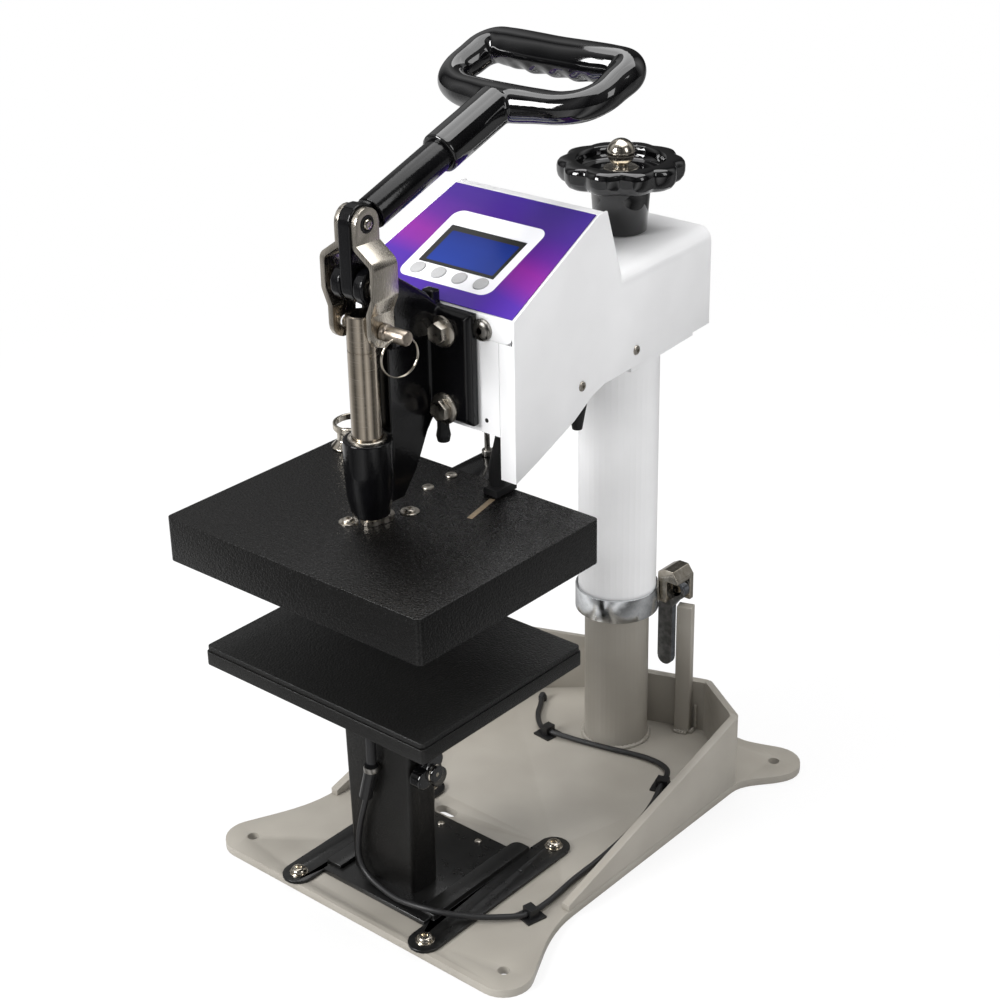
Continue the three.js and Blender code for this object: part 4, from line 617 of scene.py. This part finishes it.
# In reflections it shows dark and bright bays like the room's, which band the round metal
centred = add(tree, "ShaderNodeMapping", inputs={"Vector": place, "Location": (0, 0.3, 0)}).outputs["Vector"]
floor_bays = tones(tree, bearing(tree, centred), greys(
    (0.0, "FF"), (0.1, "A4"), (0.17, "64"), (0.3, "F4"), (0.364, "5C"), (0.43, "FF"), (0.52, "4C"),
    (0.633, "A8"), (0.72, "60"), (0.86, "B4"), (1.0, "FF"),
))
bayed_glow = add(tree, "ShaderNodeEmission", inputs={"Color": floor_bays, "Strength": 1.0})
whole_floor = add(tree, "ShaderNodeMixShader", inputs={
    0: rays.outputs["Is Glossy Ray"], 1: plain_floor.outputs["Shader"], 2: bayed_glow.outputs["Emission"],
})
tree.links.new(whole_floor.outputs["Shader"], tree.nodes["Material Output"].inputs["Surface"])
floor.data.materials.append(pale)


# Base

for node, name, width in (
    ("base_plate", "painted_base_plate", 0.9), ("base_wall", "painted_wall", 1.0), ("stop_post", "painted_post", 1.2),
):
    eased(node, name, greige, "base", width)
for node, name in (("rail_left", "coated_rail_left"), ("rail_right", "coated_rail_right")):
    eased(node, name, rail_black, "base", 0.5)


def weld(name, path, radius, body, closed=False):
    """A fillet weld under paint: overlapping ripples of uneven size."""
    dense = smooth_path([Vector(p) * MM for p in path], 6, closed)
    radii = [radius * MM * (0.85 + 0.2 * math.sin(i * 1.9) + 0.2 * noise.noise(p * 120)) for i, p in enumerate(dense)]
    bm = bmesh.new()
    hose(bm, dense, radii, 10, closed)
    return placed(name, bm, greige, body, 60)


column_foot = [(33 * math.cos(a), 33 * math.sin(a), 9) for a in (math.tau * i / 24 for i in range(24))]
weld("column_weld", column_foot, 2.6, "base", True)
weld("post_weld_front", [(46, 37, 9.2), (50, 37.6, 9.6), (55, 39.5, 9.2), (59, 41.2, 9.2)], 2.6, "base")
weld("post_weld_side", [(61.3, 43.5, 9.2), (60.8, 47.5, 10), (59.8, 51.5, 9.4)], 2.4, "base")
weld("post_weld_up", [(61.6, 52.3, 12), (61.4, 52.4, 25), (61.4, 52.4, 38)], 1.8, "base")

for i, (x, y) in enumerate(((-78, -375), (78, -375), (-78, -197), (78, -197))):
    socket_head(f"rail_bolt_{i + 1}", (x, y, 11), "Z", 7.2, 4.2, 2.9, nickel, "base", 8.6, 1.2)

# Heater cable, laid as in the part
route = [
    (-17.0, -343.4, 102.4), (-19.6, -343.4, 93), (-24, -343.6, 78), (-27.6, -343.9, 62), (-29.4, -344.2, 47),
    (-29, -344.8, 36), (-24.5, -345.8, 26), (-14, -347.6, 19.5), (4, -350.5, 16.8), (24, -353, 16.8),
    (40, -353, 18.6), (56, -350.6, 20), (72, -344, 19), (88, -332, 16), (104, -318, 14),
]
clip_height, clip_step = 13.05, 4


def through_clip(x, y, degrees):
    """Five points that lead the cable straight through a clip."""
    angle = math.radians(degrees)
    return [
        (x + step * clip_step * math.cos(angle), y + step * clip_step * math.sin(angle), clip_height)
        for step in (-2, -1, 0, 1, 2)
    ]


route += through_clip(126, -288.5, 76)
route += [(127.6, -262, 12), (124.5, -230, 11.1), (123.4, -182, 11.1), (118.4, -129, 11.1), (108.5, -84, 11.8)]
route += through_clip(97, -52, 107)
route += [
    (86.5, -30, 12), (74, -24, 11.2), (52, -24.4, 11.1), (20.5, -32.6, 11.1), (-9, -39.6, 11.1), (-28, -44.4, 12),
]
route += through_clip(-51, -47.5, 175)
route += [(-70, -38.5, 12), (-81, -26, 11.4), (-89, -12.5, 11.4), (-95.2, -2.6, 11.4)]
cable_path = smooth_path([Vector(p) * MM for p in route], 5)
bm = bmesh.new()
hose(bm, cable_path, 2.7 * MM, 14)
bmesh.ops.recalc_face_normals(bm, faces=bm.faces)
cable = made_object("heater_lead_cable", bm)
cable.data.materials.append(cable_skin)
cable.data.shade_smooth()
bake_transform(cable)
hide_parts("heater_cable")

# Table

eased("slide_plate", "coated_slide_plate", rail_black, "table", 0.6)
eased("pedestal", "coated_pedestal", fine_black, "table", 1.0)
eased("lower_platen", "coated_lower_platen", fine_black, "table", 0.5)
eased("platen_pad", "silicone_platen_pad", silicone, "table", 0.6, 2)
for i, (x, y) in enumerate(((-25.4, -238.7), (20.7, -238.5))):
    socket_head(f"slide_screw_{i + 1}", (x, y, 13.3), "Z", 3.4, 1.6, 1.4, zinc, "table")
plug_ring = [(6.1, 0), (6.9, 0), (7.1, 0.6), (7.1, 4.4), (6.9, 5), (6.1, 5), (6.1, 0)]
lathed("plug_ring", plug_ring, (-7.6, -344.2, 134.8), "Z", dark_steel, "table", 32)
moulded("pedestal_knob", "moulded_pedestal_knob", gloss_black, "table_knob", 0.6, 5)
knob_cap = [(0, 0), (8.1, 0), (8.4, 1), (7.6, 2.6), (5.2, 3.6), (3, 3.9), (0, 4)]
lathed("pedestal_knob_cap", knob_cap, (44.3, -319.5, 141), "X", nickel, "table_knob", 36)

# Column, clamp and knob

eased("clamp_collar", "chromed_collar", chrome, "swing_arm", 0.8, 3)
moulded("clamp_lug", "cast_clamp_lug", nickel, "swing_arm", 0.6, 5)
moulded("clamp_lever", "cast_clamp_lever", dark_chrome, "lever", 0.5, 3)


def knob_section(bm, base, lobe, z):
    """One level of the knob: a circle swollen into ten lobes with narrow valleys."""
    level = Matrix.Translation((0, 0, z * MM))
    ring = bmesh.ops.create_circle(bm, segments=240, radius=1, matrix=level)["verts"]
    for v in ring:
        angle = math.atan2(v.co.y, v.co.x)
        wave = math.cos(5 * angle)
        swell = 2 * math.sqrt(wave * wave + 0.03) / math.sqrt(1.03) - 1
        reach = (base + lobe * swell) * MM
        v.co.x, v.co.y = reach * math.cos(angle), reach * math.sin(angle)
    return list({e for v in ring for e in v.link_edges})


# Radius, lobe and height of each level in millimetres
bm = bmesh.new()
levels = [
    (10.6, 0, 541.95), (22.6, 0, 541.95), (24, 0, 543), (26.4, 0, 575), (26.9, 0, 582.5), (28.5, 0, 585.0),
    (32, 0.3, 586.0), (40, 1.6, 586.3), (46.5, 2.8, 587.2), (50.5, 3.1, 589.4), (53.1, 3.2, 593), (54.1, 3.2, 597),
    (54.2, 3.2, 602), (53.6, 3.1, 605.2), (51.9, 2.8, 607.6), (49.0, 2.2, 608.7), (44, 1.2, 609.0),
    (40.6, 0, 608.6), (39.2, 0, 607.4), (38.6, 0, 605), (38.3, 0, 602), (37.4, 0, 598.4), (35.4, 0, 597.1),
    (33, 0, 596.9), (10.6, 0, 596.9),
]
loops = [knob_section(bm, *level) for level in levels]
for a, b in zip(loops, loops[1:] + loops[:1]):
    bmesh.ops.bridge_loops(bm, edges=a + b)
knob = placed("moulded_height_knob", bm, gloss_black, "knob", 60)
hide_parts("height_knob")

ball_radius, ball_height = 12.6, 613.5
ball = [
    (ball_radius * math.sin(a), ball_height - ball_radius * math.cos(a))
    for a in (math.radians(d) for d in range(32, 181, 8))
]
washer = [(0, 597.35), (15.9, 597.35), (15.9, 599.6), (15.2, 600.3), (7.2, 600.3), (6.7, 602.6)]
nut = lathed("domed_nut", washer + ball[:-1] + [(0, 626.1)], (0, 0, 0), "Z", nickel, "knob", 56)
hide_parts("acorn_nut")

# Arm and console

eased("arm_cover", "painted_arm_cover", white, "swing_arm", 0.7, 2, 30)
eased("console_face", "painted_console_face", white, "swing_arm", 0.5, 2, 30)
for x in (-58.7, 58.7):
    side = "left" if x < 0 else "right"
    socket_head("console_screw_" + side, (x, arm_front, 537), "-Y", 9.6, 4.8, 3.2, dark_steel, "swing_arm")
for y, z in ((-160, 461.7), (-73, 465.4)):
    half_width = 66.7 - 0.0948 * y  # the arm widens towards its front
    for sign, axis in ((1, "X"), (-1, "-X")):
        tag = ("front" if y < -100 else "rear") + ("_right" if sign > 0 else "_left")
        socket_head("side_screw_" + tag, (sign * half_width, y, z), axis, 4.4, 2.0, 1.6, zinc, "swing_arm")

for number, body in enumerate(("key_one", "key_two", "key_three", "key_four"), 1):
    eased(f"key_{number}", f"domed_key_{number}", key_grey, body, 0.6, 3, 40)

# Toggle casting and its bolts

moulded("toggle_casting", "painted_toggle_casting", satin_black, "swing_arm", 1.1, 5)
for bolt, (x, z) in enumerate(((-25, 464), (-25, 531), (25, 464), (25, 531)), 1):
    flange_bolt(f"flange_bolt_{bolt}", (x, -269.7, z), "swing_arm", 17 * bolt)

# Head

cover_top, plunger_y = 377.35, -336

eased("platen_cover", "textured_head_cover", pebble_black, "head", 0.8, 3)
eased("heat_plate", "coated_heat_plate", fine_black, "head", 0.8)
eased("guide_bracket", "coated_guide_bracket", satin_black, "head", 0.5)
moulded("lifting_eye", "polished_lifting_eye", nickel, "head", 0.6, 3)
for i, (x, y) in enumerate(((-15, -348), (11.5, -302))):
    socket_head(f"foot_bolt_{i + 1}", (x, y, cover_top), "Z", 5.4, 2.6, 2.0, zinc, "head", 8.2, 1.2)
for i, (x, y) in enumerate(((-8.5, -257.4), (-9, -227))):
    socket_head(f"cover_screw_{i + 1}", (x, y, cover_top), "Z", 5.3, 1.9, 1.5, zinc, "head")

# A strip of tape beside the conduit's foot
tape_length, tape_width, tape_thickness = 40, 5, 0.3
tape_middle = Vector((54.6, -261, 377.5))
slant = math.atan2(-278.5 + 240, 59 - 50.3)
tape_size = Matrix.Diagonal((tape_length * MM, tape_width * MM, tape_thickness * MM, 1))
bm = bmesh.new()
bmesh.ops.create_cube(bm, size=1)
laid = Matrix.Translation(tape_middle * MM) @ Matrix.Rotation(slant, 4, "Z") @ tape_size
bmesh.ops.transform(bm, matrix=laid, verts=bm.verts)
placed("conduit_tape", bm, tan_tape, "head")

rod_bush = [(2.2, 0), (4.6, 0), (5, 0.4), (5, 5.2), (4.4, 6), (2.2, 6), (2.2, 0)]
lathed("rod_bush", rod_bush, (-15, -172, 375.1), "Z", dark_steel, "head", 28)
# A thin dark disc on the flange's face, with no hole cut: painted shade that stands for the shade inside a small
# hole.
painted_flange_hole_shade = [(0, 0), (1.9, 0), (1.9, 0.25), (0, 0.25)]
lathed("painted_flange_hole_shade", painted_flange_hole_shade, (60.8, arm_front, 458.5), "-Y", dark_pin_and_hole_shade, "swing_arm", 20)

plunger = [
    (0, 388.35), (11.8, 388.35), (12.7, 389.2), (12.7, 530.2), (12.25, 530.5), (12.25, 531.3), (12.7, 531.6),
    (12.7, 559.6), (11.6, 560.9), (0, 560.9),
]
bar = lathed("turned_plunger", plunger, (0, plunger_y, 0), "Z", turned_steel, "head", 64, 30)
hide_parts("plunger")
guide_bush = [(13.0, 0), (16.2, 0), (16.2, 1.2), (15.6, 1.7), (13.2, 1.7), (13.0, 0)]
lathed("guide_bush", guide_bush, (0, plunger_y, 453.4), "Z", zinc, "swing_arm", 48)

# Handle, links and pull pin

moulded("handle_crank", "painted_crank", satin_black, "handle", 0.7, 4)
for side in ("left", "right"):
    eased("link_" + side, f"brushed_link_{side}", stainless, "links", 0.9, 3, 35)
top_pivot = (0, plunger_y, 635.5)
pivot = [(0, -13.6), (6.9, -13.6), (6.9, 12.0), (5.6, 12.0), (5.2, 11.2), (0, 11.2)]
pin = lathed("top_pivot", pivot, top_pivot, "X", dark_pin_and_hole_shade, "handle", 40)
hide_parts("top_pin")
button = [(0, 11.3), (4.3, 11.3), (4.3, 12.4), (3.6, 13.4), (2.2, 13.75), (1.6, 13.5), (0, 13.4)]
lathed("pivot_button", button, top_pivot, "X", nickel, "handle", 32)
pull_pin = [
    (0, 18.4), (4.2, 18.4), (4.2, 23.6), (6.4, 23.6), (7, 24.3), (7, 28), (6.3, 28.7), (5.2, 29.4), (5.2, 30.4),
    (6.0, 31.0), (6.2, 36), (6.2, 48.4), (5.4, 49.6), (0, 50.4),
]
pin = lathed("turned_pull_pin", pull_pin, (0, plunger_y, 550.5), "X", aged_steel, "pull_pin_body", 36)
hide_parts("pull_pin")

# Split ring: two rounds of wire, turned a little to the side
twist = math.radians(15)
across = Vector((math.sin(twist), math.cos(twist), 0))
out = Vector((0, 0, 1)).cross(across)
ring_centre = Vector((40, plunger_y, 533.5)) * MM
ring_radius, wire_radius, wire_spread = 16.9, 0.72, 1.5
rounds, ring_steps = 2, 96
coil = []
for i in range(ring_steps + 1):
    angle = math.tau * rounds * i / ring_steps + math.pi / 2
    flat = across * ring_radius * math.cos(angle) + Vector((0, 0, ring_radius * math.sin(angle)))
    coil.append(ring_centre + (flat + out * (i / ring_steps - 0.5) * wire_spread) * MM)
bm = bmesh.new()
hose(bm, coil, wire_radius * MM, 12)
loop = placed("split_key_ring", bm, nickel, "ring_body", 60)
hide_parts("split_ring")

# Grip: the part's loop again, finer, melted into its sleeve, with finger scallops
handle_foot = Vector((0, -319.8, 637.9)) * MM
sleeve_start = Vector((0, -239.9, 666.4)) * MM
line = (sleeve_start - handle_foot).normalized()
lift = Vector((1, 0, 0)).cross(line)
near_bar = 83.3
# Half of the loop: millimetres to the side, along the handle, and the bar's radius there
half = [
    (0, near_bar, 15.7), (30.8, 86.3, 14), (54.2, 89.7, 13.1), (70, 98.5, 13), (77, 112, 13), (76.8, 128, 13.8),
    (76, 143, 14.3), (68.5, 151.5, 14.8), (54.7, 152, 15.7), (27.8, 150.8, 16.4), (0, 150.4, 16.2),
]
whole = half + [(-x, v, r) for x, v, r in half[-2:0:-1]]
dense = smooth_path([Vector(p) for p in whole], 8, True)
grip_middle = []
for p in dense:
    past = p.y - near_bar
    sideways = Vector(((2.1 + 0.12 * past + p.x) * MM, 0, 0))
    grip_middle.append(sleeve_start + line * p.y * MM + sideways + lift * (0.067 * past - 2.8) * MM)
bm = bmesh.new()
skin_over_bar = 0.4
hose(bm, grip_middle, [(p.z + skin_over_bar) * MM for p in dense], 32, True, lift)
sleeve = ((0, 16.6), (1, 17.4), (38, 17.4), (76, 17.4))
hose(bm, [sleeve_start + line * (v * MM) for v, _ in sleeve], [radius * MM for _, radius in sleeve], 32)
bmesh.ops.recalc_face_normals(bm, faces=bm.faces)
hand_grip = made_object("dipped_hand_grip", bm)
softened(hand_grip, gloss_black, "handle", 1.2, 9, "hand_grip")


def clamped(value):
    return max(0.0, min(1.0, value))


# Scallops on the far bar's inner side, underneath, fading out towards its ends
scallop_reach, scallop_pitch, scallop_depth, far_bar_middle = 50, 23, 1.5, 10
for v in hand_grip.data.vertices:
    rel = v.co - sleeve_start
    along, x, up = rel.dot(line) / MM, v.co.x / MM - far_bar_middle, rel.dot(lift) / MM
    if along > 118 and abs(x) < scallop_reach:
        inner = clamped((150 - along) / 10) * clamped((2 - up) / 8)
        fade = min(1.0, (scallop_reach - abs(x)) / 12)
        v.co -= line * (inner * fade * scallop_depth * math.cos(math.tau * x / scallop_pitch) * MM)

eased("handle_tube", "painted_handle_tube", satin_black, "handle", 0.6, 2)

# Nodes that keep the part's own shape
kept = {
    greige: ("inner_column",),
    white: ("outer_tube", "arm_frame"),
    dark_steel: ("guide_rod",),
    zinc: ("fulcrum_bolt", "platen_foot", "clevis_pin", "column_plug", "adjusting_screw"),
    bronze: ("thrust_bush",),
    nylon: ("cable_clip_1", "cable_clip_2", "cable_clip_3", "cable_plug"),
    rubber: ("cable_boot", "platen_lead", "probe_boot", "power_gland", "heater_conduit"),
    fibre: ("insulation_board",),
    film: ("control_overlay",),
    glass: ("display_window",),
    board: ("control_board",),
}
for material, names in kept.items():
    for name in names:
        nodes[name].data.materials.clear()
        nodes[name].data.materials.append(material)
